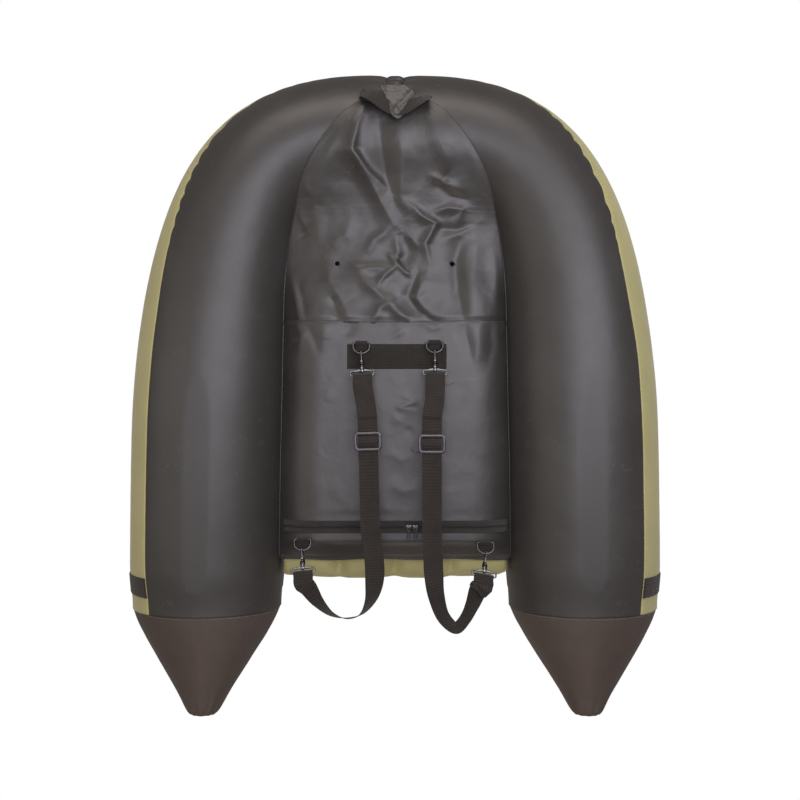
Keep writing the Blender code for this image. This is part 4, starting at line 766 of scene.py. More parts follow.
# Each fold: its points on the picture, the widths of its two flanks in pixels and its height in millimetres
STORAGE_FOLDS = (
    (((366, 104), (357, 124), (352, 150), (368, 172), (388, 190)), 9, 5, 9.0),
    (((352, 150), (362, 168), (378, 196), (396, 228)), 8, 5, 7.0),
    (((340, 132), (322, 168), (312, 205), (318, 240)), 9, 12, 6.0),
    (((378, 118), (382, 150), (388, 185), (396, 205)), 7, 9, -8.0),
    (((398, 122), (402, 160), (400, 196), (410, 214)), 12, 10, 6.5),
    (((412, 206), (422, 216), (436, 224), (425, 244), (430, 264)), 6, 4, 7.0),
    (((402, 232), (408, 252), (404, 268)), 9, 9, -5.0),
    (((418, 272), (408, 296), (418, 312), (440, 324)), 7, 5, -6.5),
    (((424, 276), (416, 298), (428, 312)), 6, 7, 5.0),
    (((430, 116), (442, 146), (452, 178)), 10, 12, 5.0),
    (((450, 170), (440, 186), (452, 196), (470, 200)), 6, 5, -4.5),
    (((432, 176), (446, 184), (460, 190)), 5, 5, 4.5),
    (((434, 212), (448, 208), (462, 210), (458, 222)), 5, 4, 4.5),
    (((438, 228), (456, 230), (478, 224)), 6, 5, -4.5),
    (((446, 238), (462, 232), (480, 222)), 5, 6, 4.0),
    (((462, 236), (455, 262), (458, 290), (464, 324)), 9, 8, -8.0),
    (((478, 238), (472, 270), (474, 310)), 12, 10, 5.5),
    (((356, 268), (366, 282), (384, 298), (404, 314)), 7, 5, 5.5),
    (((356, 268), (372, 268), (392, 267)), 6, 5, 3.5),
    (((366, 254), (374, 240), (392, 228)), 6, 6, 3.5),
    (((398, 264), (389, 256)), 3, 3, 4.5),
    (((398, 264), (405, 272), (410, 275)), 3, 3, 4.5),
    (((398, 264), (402, 256)), 3, 3, -3.5),
    (((398, 264), (384, 276), (378, 284)), 4, 3, 4.0),
    (((398, 264), (398, 250), (396, 236)), 5, 4, 4.0),
    (((372, 324), (380, 308), (396, 300)), 6, 5, 4.0),
    (((350, 320), (342, 300), (330, 282), (326, 262)), 9, 7, 5.0),
    (((338, 318), (332, 296)), 6, 6, -4.0),
    (((300, 322), (296, 300), (290, 276)), 5, 4, 5.0),
    (((306, 320), (302, 298), (296, 280)), 4, 5, -4.5),
    (((308, 232), (301, 218), (298, 206)), 5, 4, 3.5),
    (((300, 238), (312, 226)), 4, 4, -3.0),
    (((310, 196), (305, 186), (306, 176)), 4, 4, 3.0),
    (((392, 308), (402, 316), (414, 322)), 4, 4, 3.5),
    (((492, 240), (496, 270), (498, 310)), 6, 6, 3.5),
    (((330, 246), (345, 236), (350, 220)), 8, 8, 3.0),
    (((418, 248), (412, 238), (404, 234)), 5, 5, 3.0),
    (((470, 140), (478, 168), (488, 200)), 8, 7, 4.0),
)
POCKET_FOLDS = (
    (((296, 322), (302, 334), (299, 350)), 5, 4, 3.5),
    (((306, 322), (313, 336), (318, 352)), 5, 5, -3.0),
    (((326, 322), (324, 340)), 8, 8, 2.0),
    (((352, 322), (346, 336)), 7, 7, -2.0),
    (((396, 322), (402, 330), (394, 338)), 5, 5, 1.6),
    (((420, 322), (434, 328), (444, 324)), 5, 5, 2.0),
    (((463, 322), (468, 344), (473, 364), (474, 380)), 7, 8, -5.0),
    (((478, 322), (478, 350), (474, 378)), 8, 7, 3.5),
    (((490, 322), (492, 344), (488, 366)), 6, 6, -2.5),
    (((498, 322), (500, 350)), 6, 5, 2.5),
    (((404, 396), (414, 402), (400, 408), (412, 410)), 4, 3, 1.6),
    (((406, 428), (414, 436)), 4, 4, -1.2),
    (((392, 414), (402, 424)), 5, 5, 1.2),
    (((388, 452), (402, 460), (412, 456)), 6, 6, 1.0),
    (((392, 486), (404, 492), (416, 488)), 6, 6, 1.0),
    (((330, 388), (326, 402)), 7, 7, 1.0),
    (((286, 400), (282, 396)), 4, 4, 1.5),
    (((500, 392), (508, 400), (506, 410)), 4, 4, 1.8),
)


def fold_height(px, py, folds):
    """Sum of all folds at a pixel, in metres towards the camera."""
    total = 0.0
    for points, left, right, height in folds:
        reach = 3.2 * max(left, right)
        if not (min(p[0] for p in points) - reach < px < max(p[0] for p in points) + reach
                and min(p[1] for p in points) - reach < py < max(p[1] for p in points) + reach):
            continue
        best, sign, done = 1e9, 1, 0.0
        count = len(points) - 1
        for i, ((ax, ay), (bx, by)) in enumerate(zip(points, points[1:])):
            dx, dy = bx - ax, by - ay
            long2 = dx * dx + dy * dy
            t = max(0.0, min(1.0, ((px - ax) * dx + (py - ay) * dy) / long2))
            ox, oy = px - ax - dx * t, py - ay - dy * t
            away = math.hypot(ox, oy)
            if away < best:
                best, done = away, (i + t) / count
                sign = 1 if dx * oy - dy * ox > 0 else -1
        width = left if sign > 0 else right
        lengthwise = 0.35 + 0.65 * math.sin(math.pi * min(max(done, 0.0), 1.0)) ** 0.7
        total += height * 0.001 * lengthwise * math.exp(-(best / width) ** 1.6)
    return total


# %% Edges of the panel on the tubes
PANEL_EDGE_DEGREES, POCKET_FLOOR_Z = -75, 0.075
CROSS_SEAM_Y, POCKET_FRONT_Y = 0.149 + SHIFT_Y, -0.336 + SHIFT_Y
POCKET_FLAT_SHARE, POCKET_FRONT_RISE, POCKET_FRONT_RUN = 0.74, 0.024, 0.042
STORAGE_EDGE = ((0.4995, -75), (0.513, -73), (0.56, -72), (0.62, -70), (0.68, -67), (0.735, -61), (0.785, -50),
                (0.825, -38), (0.862, -24), (0.895, -8), (0.925, 8), (0.950, 20), (0.968, 28))
STORAGE_SAG = 0.016
# How far the middle is pulled from the tubes' height to a straight line from the cross seam to the closed end
STORAGE_TAUT = 0.6


@lru_cache(maxsize=None)
def panel_edge(y):
    """Half width and height of the panel's edge at a place along the boat."""
    point = on_tube(share_at_y(y), PANEL_EDGE_DEGREES, 0.0006)
    return point.x, point.z


def pocket_z(x, y):
    """Height of the taut floor: level in the middle, rising to the tubes and towards the front hem."""
    half, edge_z = panel_edge(round(y, 4))
    across = max(abs(x) / half - 0.62, 0) / 0.38
    front = ease((POCKET_FRONT_Y + POCKET_FRONT_RUN - y) / POCKET_FRONT_RUN)
    floor_z = POCKET_FLOOR_Z + POCKET_FRONT_RISE * front
    return floor_z + (edge_z - floor_z) * min(across, 1) ** 2.3


@lru_cache(maxsize=None)
def storage_edge(part):
    """Edge point of the storage floor, from the cross seam to the closed end."""
    first, last = STORAGE_EDGE[0][0], STORAGE_EDGE[-1][0]
    share = first + (last - first) * part
    degrees = smooth_table(STORAGE_EDGE, share, 0.036)
    lift = 0.0006 + CLOTH * ease(degrees / 30 + 1.5)
    return on_tube(share, degrees, lift)

# %% Storage floor
SEAM_LAP, SEAM_TUCK = 0.0012, 0.005
# The cross seam's line on the picture, and how far its edge rolls there
SEAM_LINE, SEAM_ROLL = 320, 1.7
DRAIN_HOLE_RADIUS = 0.0042
DRAIN_HOLES = ((0.1165, 0.263 + SHIFT_Y), (-0.1165, 0.263 + SHIFT_Y))


def seam_bow(u):
    """The cross seam isn't quite straight: its middle lies a little nearer the seat."""
    return 0.0048 * abs(u) ** 1.5 - 0.0030 + 0.0012 * noise.noise((u * 6, 4.0, 0))


def to_picture(point):
    scale = (point.z - CAMERA_PLACE.z) / PIXELS_PER_SLOPE
    return (PICTURE_SIZE / 2 - (point.x - CAMERA_PLACE.x) / scale,
            PICTURE_SIZE / 2 - (point.y - CAMERA_PLACE.y) / scale)


def storage_place(along, across):
    """Place on the storage floor. What eases in or out does so over a share of the floor's length."""
    edge = storage_edge(along)
    u = 2 * across - 1
    x, y = edge.x * u, edge.y
    near_seam = 1 - ease(along / 0.27)
    tuck = 1 - ease(along / 0.015)
    y += seam_bow(u) * (1 - ease(along / 0.14)) + (CROSS_SEAM_Y - storage_edge(0.0).y) * (1 - ease(along / 0.2))
    y -= SEAM_TUCK * tuck
    start_z = pocket_z(edge.x * u, CROSS_SEAM_Y)
    sag = STORAGE_SAG * (1 - u * u) * (1 - along) ** 1.4
    z = edge.z - 0.0012 - sag * ease(along / 0.1)
    z = start_z * near_seam + z * (1 - near_seam) + CLOTH * 1.6 * tuck
    end = storage_edge(1.0)
    chord = POCKET_FLOOR_Z + (end.z - POCKET_FLOOR_Z) * (y - CROSS_SEAM_Y) / (end.y - CROSS_SEAM_Y)
    z += (chord - z) * STORAGE_TAUT * (1 - u * u) * ease(along / 0.16) * (1 - ease((along - 0.60) / 0.22))
    px, py = to_picture(Vector((x, y, z)))
    free = 1 - abs(u) ** 10
    soft = 0.0012 * noise.noise((x * 14, y * 11, 1.0)) + 0.0006 * noise.noise((x * 45, y * 38, 6.0))
    lap = SEAM_LAP * bell(py - SEAM_LINE, SEAM_ROLL)
    z -= (fold_height(px, py, STORAGE_FOLDS) + soft) * free - lap
    return Vector((x, y, z))


def open_hole(bm, x, y, radius):
    """Cut a round hole: take out the faces inside it and draw the edge points onto the circle."""
    inside = [f for f in bm.faces if (f.calc_center_median().xy - Vector((x, y))).length < radius]
    bmesh.ops.delete(bm, geom=inside, context="FACES")
    for vert in bm.verts:
        away = Vector((vert.co.x - x, vert.co.y - y))
        if vert.is_boundary and 0 < away.length < radius * 1.9:
            away = away.normalized() * radius
            vert.co.x, vert.co.y = x + away.x, y + away.y


bm = cloth_grid(176, 190, storage_place, (0.412, 0.455))
face_out(bm, DOWN)
for hole_x, hole_y in DRAIN_HOLES:
    open_hole(bm, hole_x, hole_y, DRAIN_HOLE_RADIUS)
storage_cloth, area = lay_cloth(bm, "storage_floor_cloth", DOWN, PANEL_PVC, ("storage_floor",))
print("folds of the storage floor:", len(STORAGE_FOLDS))

# %% Seat pocket
POCKET_LENGTH, HEM_WIDTH, HEM_HEIGHT = 0.485, 0.009, 0.0010
# Left, right, top and bottom on the picture of what is sewn flat onto the pocket, and the run back to loose cloth
CALM_RUN = 9
CALM_BOXES = ((345, 449, 342, 371), (280, 515, 517, 537), (292, 320, 538, 556), (468, 498, 538, 556))


def calm(px, py):
    """0 where something is sewn flat onto the pocket, 1 well away from it."""
    free = 1.0
    for left, right, top, low in CALM_BOXES:
        away = math.hypot(max(left - px, 0, px - right), max(top - py, 0, py - low))
        free = min(free, ease(away / CALM_RUN))
    return free


def pocket_place(along, across):
    """Place on the pocket, from its front hem to the cross seam."""
    y = POCKET_FRONT_Y + (CROSS_SEAM_Y - 0.0002 - POCKET_FRONT_Y) * along
    u = 2 * across - 1
    half = panel_edge(round(y, 4))[0]
    x = half * u
    y_seam = y + seam_bow(u) * ease((along - 0.86) / 0.14)
    front = 1 - ease(along / 0.02)
    y_seam += front * (0.0012 * math.sin(u * 9) - 0.002 * u * u)
    z = pocket_z(x, y)
    px, py = to_picture(Vector((x, y_seam, z)))
    free = (1 - abs(u) ** 12) * calm(px, py)
    soft = 0.0009 * noise.noise((x * 9, y * 7, 3.0)) + 0.0004 * noise.noise((x * 30, y * 26, 8.0))
    lap = SEAM_LAP * bell(py - SEAM_LINE, SEAM_ROLL)
    hem = HEM_HEIGHT * bell(along * POCKET_LENGTH - HEM_WIDTH, 0.0016)
    z -= (fold_height(px, py, POCKET_FOLDS) + soft) * free - lap - hem
    return Vector((x, y_seam, z))


bm = cloth_grid(190, 170, pocket_place, (POCKET_LENGTH, 0.50))
pocket_cloth, area = lay_cloth(bm, "seat_pocket_cloth", DOWN, PANEL_PVC, ("seat_pocket_panel",))
print("folds of the pocket:", len(POCKET_FOLDS))

# %% [markdown]
# ## Harness chains
#
# Four D-rings are held on the floor by webbing tabs. Each carries a snap hook, and the hook turns in a flat
# swivel eye that holds the end of a strap. Everything in one such chain lies on one line that hangs down
# from the floor, so a chain is described by a place and three directions, and every piece of it is made
# from those. The metal is bent wire and castings: round rods along a path and turned collars.

# %% One chain: its place and directions
GAP = 0.0003
RING_WIRE_RADIUS, RING_HALF_WIDTH, RING_DEPTH = 0.0021, 0.0165, 0.0245
TAB_WIDTH, TAB_LENGTH, TAB_THICKNESS = 0.024, 0.018, 0.0015
HOOK_BOW_CENTRE, HOOK_BOW_RADIUS, HOOK_WIRE_RADIUS = 0.030, 0.0071, 0.0025
HOOK_GATE_PIVOT, HOOK_NOSE, HOOK_PLAY, GATE_RADIUS = 0.0105, 0.0285, 0.0008, 0.0013
BARREL_RADIUS, BARREL_LENGTH = 0.0046, 0.0090
EYE_HALF_WIDTH, EYE_THICKNESS, EYE_SLOT_HALF_WIDTH = 0.0260, 0.0036, 0.0210
EYE_SLOT_HEIGHT, EYE_BAR_HEIGHT = 0.0060, 0.0040
PATCH_THICKNESS, PATCH_LENGTH, PATCH_WIDTH = 0.0015, 0.200, 0.050
PATCH_X, PATCH_Y = -0.004, 0.075 + SHIFT_Y


class Chain:
    def __init__(self, word, x, bar_y, floor_z, slope_degrees, yaw_degrees):
        self.word, self.floor_z = word, floor_z
        self.origin = Vector((x, bar_y + SHIFT_Y, floor_z - GAP * 2 - RING_WIRE_RADIUS - TAB_THICKNESS))
        slope = math.radians(slope_degrees)
        yaw = Matrix.Rotation(math.radians(yaw_degrees), 3, "Z")
        self.ring_down = Vector((0, -math.cos(slope), -math.sin(slope)))
        self.ring_face = SIDEWAYS.cross(self.ring_down).normalized()
        self.down = (yaw @ self.ring_down).normalized()
        self.side = (yaw @ SIDEWAYS).normalized()
        self.face = self.side.cross(self.down).normalized()
        play = HOOK_BOW_RADIUS - HOOK_WIRE_RADIUS - RING_WIRE_RADIUS - HOOK_PLAY
        self.hook_base = self.origin + self.ring_down * RING_DEPTH + self.down * (HOOK_BOW_CENTRE + play)
        self.eye_top = self.hook_base + self.down * GAP
        self.bar = self.eye_top + self.down * (BARREL_LENGTH + EYE_SLOT_HEIGHT + EYE_BAR_HEIGHT / 2)

    def on_ring(self, across, down):
        return self.origin + SIDEWAYS * across + self.ring_down * down

    def on_hook(self, along, out, across=0.0):
        return self.hook_base - self.down * along + self.face * out + self.side * across

    def on_eye(self, across, down, out=0.0):
        return self.eye_top + self.down * (BARREL_LENGTH + down) + self.side * across + self.face * out


PATCH_FACE_Z = POCKET_FLOOR_Z - GAP - PATCH_THICKNESS
CHAINS = {
    "left_upper": Chain("left_upper", 0.0670, 0.1026, PATCH_FACE_Z, 25, -3.4),
    "right_upper": Chain("right_upper", -0.0800, 0.1044, PATCH_FACE_Z, 25, 0.0),
    "left_lower": Chain("left_lower", 0.1850, -0.2924, POCKET_FLOOR_Z, 34, -5.6),
    "right_lower": Chain("right_lower", -0.1820, -0.2990, POCKET_FLOOR_Z, 34, 8.9),
}
print("four harness chains")


# %% Rods and turned pieces
def smooth_path(points, step):
    """Points about one step apart on a smooth curve through the given ones."""
    padded = [points[0] * 2 - points[1]] + list(points) + [points[-1] * 2 - points[-2]]
    made = []
    for i in range(1, len(padded) - 2):
        p0, p1, p2, p3 = padded[i - 1:i + 3]
        spans = [max((b - a).xyz.length, GAP) ** 0.5 for a, b in ((p0, p1), (p1, p2), (p2, p3))]
        t0, t1, t2, t3 = 0, spans[0], spans[0] + spans[1], sum(spans)
        count = max(1, round((p2 - p1).xyz.length / step))
        for k in range(count):
            t = t1 + (t2 - t1) * k / count
            a1 = p0 * ((t1 - t) / (t1 - t0)) + p1 * ((t - t0) / (t1 - t0))
            a2 = p1 * ((t2 - t) / (t2 - t1)) + p2 * ((t - t1) / (t2 - t1))
            a3 = p2 * ((t3 - t) / (t3 - t2)) + p3 * ((t - t2) / (t3 - t2))
            b1 = a1 * ((t2 - t) / (t2 - t0)) + a2 * ((t - t0) / (t2 - t0))
            b2 = a2 * ((t3 - t) / (t3 - t1)) + a3 * ((t - t1) / (t3 - t1))
            made.append(b1 * ((t2 - t) / (t2 - t1)) + b2 * ((t - t1) / (t2 - t1)))
    made.append(Vector(points[-1]))
    return made


def add_rod(bm, points, radius, flat_normal, closed=False, sides=16, taper=None, widen=None):
    """Round rod along points that lie in one plane. It starts as a grid that is rolled round the path."""
    count = len(points)
    stations = [(i, 1.0) for i in range(count)]
    if closed:
        stations.append((0, 1.0))
    else:
        stations = [(0, 0.0), (0, 0.8)] + stations + [(count - 1, 0.8), (count - 1, 0.0)]
    grid = bmesh.ops.create_grid(bm, x_segments=len(stations) - 1, y_segments=sides, size=0.5)
    rings = []
    for i, full in stations:
        before = points[i - 1] if closed or i else points[i]
        after = points[(i + 1) % count] if closed or i < count - 1 else points[i]
        along = (after - before).normalized()
        size = radius * (taper(i / (count - 1)) if taper else 1)
        wide = flat_normal * (widen(i / (count - 1)) if widen else 1)
        rings.append((points[i], along.cross(flat_normal).normalized(), size * full, size, wide))
    for n in (0, 1, -1, -2):
        if not closed:
            middle, out, reach, size, wide = rings[n]
            inner = rings[2 if n >= 0 else -3][0]
            other = rings[3 if n >= 0 else -4][0]
            back = (inner - other).normalized() * size * (0.35 if n in (0, -1) else 0.2)
            rings[n] = (middle + back, out, reach, size, wide)
    for vert in grid["verts"]:
        middle, out, reach, _, wide = rings[round((vert.co.x + 0.5) * (len(stations) - 1))]
        turn = 2 * math.pi * (vert.co.y + 0.5)
        vert.co = middle + (out * math.cos(turn) + wide * math.sin(turn)) * reach
    bmesh.ops.remove_doubles(bm, verts=bm.verts, dist=0.000004)


def add_turned(bm, profile, base, axis, sides=24):
    """Turned piece: a profile of (radius, height) pairs spun once round an axis that starts at base."""
    place = Matrix.Translation(base) @ axis.to_track_quat("Z", "Y").to_matrix().to_4x4()
    verts = [bm.verts.new(place @ Vector((r, 0, h))) for r, h in profile]
    edges = [bm.edges.new(pair) for pair in zip(verts, verts[1:])]
    bmesh.ops.spin(bm, geom=verts + edges, cent=base, axis=axis, angle=2 * math.pi, steps=sides)
    bmesh.ops.remove_doubles(bm, verts=bm.verts, dist=0.000004)


def close_metal(bm, name, finish, body, replaces, soft_degrees=35):
    bmesh.ops.recalc_face_normals(bm, faces=bm.faces)
    made = object_from(bm, name, finish, body, replaces)
    made.data.set_sharp_from_angle(angle=math.radians(soft_degrees))
    return made


# %% D-rings
def build_d_ring(chain):
    """The ring's bar is straight in the tab; the rest of the wire bends round in a D."""
    half, depth, corner = RING_HALF_WIDTH, RING_DEPTH, RING_WIRE_RADIUS * 1.2
    rise = depth * 0.38
    outline = [(-half + corner, 0), (-half / 2, 0), (0, 0), (half / 2, 0), (half - corner, 0),
               (half - corner * 0.3, corner * 0.3), (half, corner), (half, rise)]
    for k in range(1, 14):
        turn = math.pi * k / 14
        outline.append((half * math.cos(turn), rise + (depth - rise) * math.sin(turn)))
    outline += [(-half, rise), (-half, corner), (-half + corner * 0.3, corner * 0.3)]
    places = [chain.on_ring(a, b) for a, b in outline]
    bm = bmesh.new()
    add_rod(bm, places, RING_WIRE_RADIUS, chain.ring_face, closed=True)
    close_metal(bm, chain.word + "_ring_wire", DARK_NICKEL, chain.word + "_ring", (chain.word + "_d_ring",))


for chain in CHAINS.values():
    build_d_ring(chain)
print("D-rings: bent wire, %.1f mm thick" % (RING_WIRE_RADIUS * 2000))


# %% Snap hooks with their gates
def build_hook(chain):
    """The bow is thickest at its back and ends in a rounded nose; its shank turns in the eye's barrel."""
    r, top = HOOK_BOW_RADIUS, HOOK_BOW_CENTRE
    path = [(HOOK_GATE_PIVOT * 0.1, 0), (HOOK_GATE_PIVOT * 0.3, 0), (HOOK_GATE_PIVOT * 0.62, -r * 0.35),
            (HOOK_GATE_PIVOT, -r * 0.82), (HOOK_GATE_PIVOT * 1.45, -r), (top * 0.75, -r), (top, -r)]
    path += [(top + r * math.sin(math.pi * k / 8), -r * math.cos(math.pi * k / 8)) for k in range(1, 8)]
    path += [(top, r), (HOOK_NOSE, r)]
    places = smooth_path([chain.on_hook(a, b) for a, b in path], 0.0012)
    bm = bmesh.new()
    add_rod(bm, places, HOOK_WIRE_RADIUS, chain.side,
            taper=lambda t: 0.98 - 0.16 * ease((t - 0.35) / 0.5) - 0.34 * ease((t - 0.95) / 0.05),
            widen=lambda t: 1 + 1.2 * (1 - ease((t - 0.12) / 0.34)))
    collar = BARREL_RADIUS
    add_turned(bm, ((0, 0), (collar * 0.86, 0), (collar, 0.0006), (collar, 0.0017), (collar * 0.90, 0.0022),
                    (collar * 0.94, 0.0028), (collar * 0.72, 0.0042), (HOOK_WIRE_RADIUS, 0.0056), (0, 0.0058)),
               chain.on_hook(0, 0), -chain.down)
    knuckle_end = HOOK_GATE_PIVOT - GATE_RADIUS * 3 - GAP
    add_rod(bm, [chain.on_hook(HOOK_GATE_PIVOT * 0.30, 0), chain.on_hook(HOOK_GATE_PIVOT * 0.42, r * 0.45),
                 chain.on_hook(knuckle_end * 0.98, r * 0.85), chain.on_hook(knuckle_end, r)],
            GATE_RADIUS * 1.4, chain.side)
    shank = BARREL_LENGTH + GAP * 2
    add_turned(bm, ((0, -0.002), (0.0020, -0.002), (0.0020, shank), (0.0028, shank), (0.0032, shank + 0.0004),
                    (0.0030, shank + 0.0012), (0.0016, shank + 0.0016), (0, shank + 0.0016)),
               chain.hook_base, chain.down)
    close_metal(bm, chain.word + "_snap_hook", DARK_NICKEL, chain.word + "_hook", (chain.word + "_hook",))


def build_gate(chain):
    r = HOOK_BOW_RADIUS
    pivot, tip = chain.on_hook(HOOK_GATE_PIVOT, r), chain.on_hook(HOOK_NOSE - GAP, r)
    bm = bmesh.new()
    add_rod(bm, [pivot.lerp(tip, k / 8) for k in range(9)], GATE_RADIUS, chain.side,
            taper=lambda t: 1.0 - 0.30 * ease(t) - 0.15 * ease((t - 0.9) / 0.1))
    boss, reach = GATE_RADIUS * 1.4, HOOK_WIRE_RADIUS * 0.8
    add_turned(bm, ((0, 0), (boss * 0.7, 0), (boss, 0.0003), (boss, reach * 2 - 0.0003), (boss * 0.7, reach * 2),
                    (0, reach * 2)), pivot - chain.side * reach, chain.side, 16)
    close_metal(bm, chain.word + "_spring_gate", BRIGHT_NICKEL, chain.word + "_gate", (chain.word + "_gate",))


for chain in CHAINS.values():
    build_hook(chain)
    build_gate(chain)
print("snap hooks and gates")


# %% Swivel eyes
def build_eye(chain):
    """A frame round the strap's slot, with shoulders that run up into the barrel."""
    side, low = (EYE_HALF_WIDTH + EYE_SLOT_HALF_WIDTH) / 2, EYE_SLOT_HEIGHT + EYE_BAR_HEIGHT / 2
    thick = (EYE_HALF_WIDTH - EYE_SLOT_HALF_WIDTH) * 0.38
    turn_in = side - 0.0022
    loop = [(-turn_in, -0.0015), (-turn_in / 2, -0.0018), (0, -0.0020), (turn_in / 2, -0.0018), (turn_in, -0.0015),
            (side - 0.0006, -0.0008), (side, 0.0012), (side, low * 0.7), (side - 0.0006, low - 0.0006),
            (turn_in, low), (turn_in / 2, low), (0, low), (-turn_in / 2, low), (-turn_in, low),
            (-side + 0.0006, low - 0.0006), (-side, low * 0.7), (-side, 0.0012), (-side + 0.0006, -0.0008)]
    bm = bmesh.new()
    add_rod(bm, [chain.on_eye(a, b) for a, b in loop], thick, chain.face, closed=True)
    for word in (-1, 1):
        wing = [(0, -0.0045), (0.006, -0.0040), (0.012, -0.0028), (0.018, -0.0018), (turn_in, -0.0014)]
        add_rod(bm, [chain.on_eye(a * word, b) for a, b in wing], thick, chain.face,
                taper=lambda t: 1.25 - 0.35 * ease(t))
    r, high = BARREL_RADIUS, BARREL_LENGTH
    add_turned(bm, ((0.0024, 0), (r * 0.9, 0), (r, 0.0006), (r, 0.0020), (r * 0.86, 0.0026), (r * 0.86, 0.0040),
                    (r, 0.0046), (r, high - 0.0022), (r * 0.8, high), (0.0024, high), (0.0024, 0)),
               chain.eye_top, chain.down)
    close_metal(bm, chain.word + "_cast_eye", BRIGHT_NICKEL, "hull", (chain.word + "_swivel_eye",))


for chain in CHAINS.values():
    build_eye(chain)
print("swivel eyes")

# %% [markdown]
# ## Straps, tabs and adjusters
#
# A strap is one length of webbing. It hangs from the upper eye, runs down over the pocket, twists a
# little as it leaves the edge of the seat, and swings out to the lower eye. Each end goes round its eye's
# bar and is sewn back on itself. Its route is a list of places with the twist there, and at each place the
# webbing has a middle, a width direction and an outer side. The same routine lays the ring tabs.

# %% Webbing along a route
WEBBING_WIDTH, WEBBING_THICKNESS = 0.0385, 0.0014
FLAT_STEPS, EDGE_STEPS = 18, 3
# A point of a route is a 4D vector: its place, and its twist in thousands of degrees
HARNESS_REACH, STRAP_STEP, STRAP_CLOSE_RUN, STRAP_BULGE_RUN = 0.500, 0.0035, 0.014, 0.050


def add_webbing(rows, width, thickness, ripple=0.0):
    """Closed strip of webbing with round selvedges through rows of (middle, width way, outer side)."""
    lengths = run_lengths([row[0] for row in rows])
    columns, around = len(rows) - 1, 2 * (FLAT_STEPS + EDGE_STEPS)
    flat_half, round_half = (width - thickness) / 2, thickness / 2

    def place(u, v):
        middle, across, out = rows[round(u * columns)]
        step = round(v * around) % around
        far = step >= FLAT_STEPS + EDGE_STEPS
        step -= far * (FLAT_STEPS + EDGE_STEPS)
        turn = math.pi * max(step - FLAT_STEPS, 0) / EDGE_STEPS
        x = flat_half * (2 * min(step, FLAT_STEPS) / FLAT_STEPS - 1) + round_half * math.sin(turn)
        z = round_half * math.cos(turn)
        if far:
            x, z = -x, -z
        done = lengths[round(u * columns)]
        wave = ripple * noise.noise((done * 30, x * 25, width * 70))
        return middle + across * (x + wave * 0.6) + out * (z + wave)

    bm = cloth_grid(columns, around, place, (lengths[-1], 2 * (width + thickness)))
    bmesh.ops.remove_doubles(bm, verts=bm.verts, dist=0.00001)
    bmesh.ops.holes_fill(bm, edges=[e for e in bm.edges if e.is_boundary])
    bmesh.ops.recalc_face_normals(bm, faces=bm.faces)
    return bm, lengths[-1]


def ribbon_frame(points, i):
    before, after = points[max(i - 1, 0)].xyz, points[min(i + 1, len(points) - 1)].xyz
    along = (after - before).normalized()
    level = along.cross(UPWARDS).normalized()
    twist = math.radians(points[i].w * 1000)
    across = level * math.cos(twist) + level.cross(along) * math.sin(twist)
    return along, across, across.cross(along).normalized()


def layer_offset(distance, bulge):
    """Distance from the strap's middle line to one of its two layers near an eye."""
    layer = (WEBBING_THICKNESS + GAP) / 2
    wrap = math.hypot(EYE_BAR_HEIGHT, EYE_THICKNESS) / 2 + GAP + WEBBING_THICKNESS / 2
    swell = bulge * math.sin(math.pi * min(distance / STRAP_BULGE_RUN, 1)) ** 2
    return wrap + (layer - wrap) * ease(distance / STRAP_CLOSE_RUN) + swell


def turn_rows(bar, along, across, face, steps=12):
    rows = []
    for k in range(1, steps):
        turn = math.pi * (k / steps - 0.5)
        out = face * math.sin(turn) - along * math.cos(turn)
        rows.append((bar + out * layer_offset(0, 0), across, out))
    return rows


def strap_rows(route, upper_tail, lower_tail, lower_bulge):
    points = smooth_path(route, STRAP_STEP)
    frames = [ribbon_frame(points, i) for i in range(len(points))]
    places = [p.xyz for p in points]
    lengths = run_lengths(places)
    main, upper, lower = [], [], []
    for place, (along, across, face), done in zip(places, frames, lengths):
        left = lengths[-1] - done
        main.append((place + face * max(layer_offset(done, 0), layer_offset(left, 0)), across, face))
        if done < upper_tail:
            upper.append((place - face * layer_offset(done, 0), across, -face))
        if left < lower_tail:
            lower.append((place - face * layer_offset(left, lower_bulge), across, -face))
    start = turn_rows(places[0], *frames[0])
    along, across, face = frames[-1]
    end = turn_rows(places[-1], -along, across, face)[::-1]
    return upper[::-1] + start + main + end + lower[::-1]


# %% The two straps
UPPER_TAIL, LOWER_TAIL, RIGHT_LOOP_BULGE, FLAT_RUN = 0.094, 0.042, 0.009, 0.0092
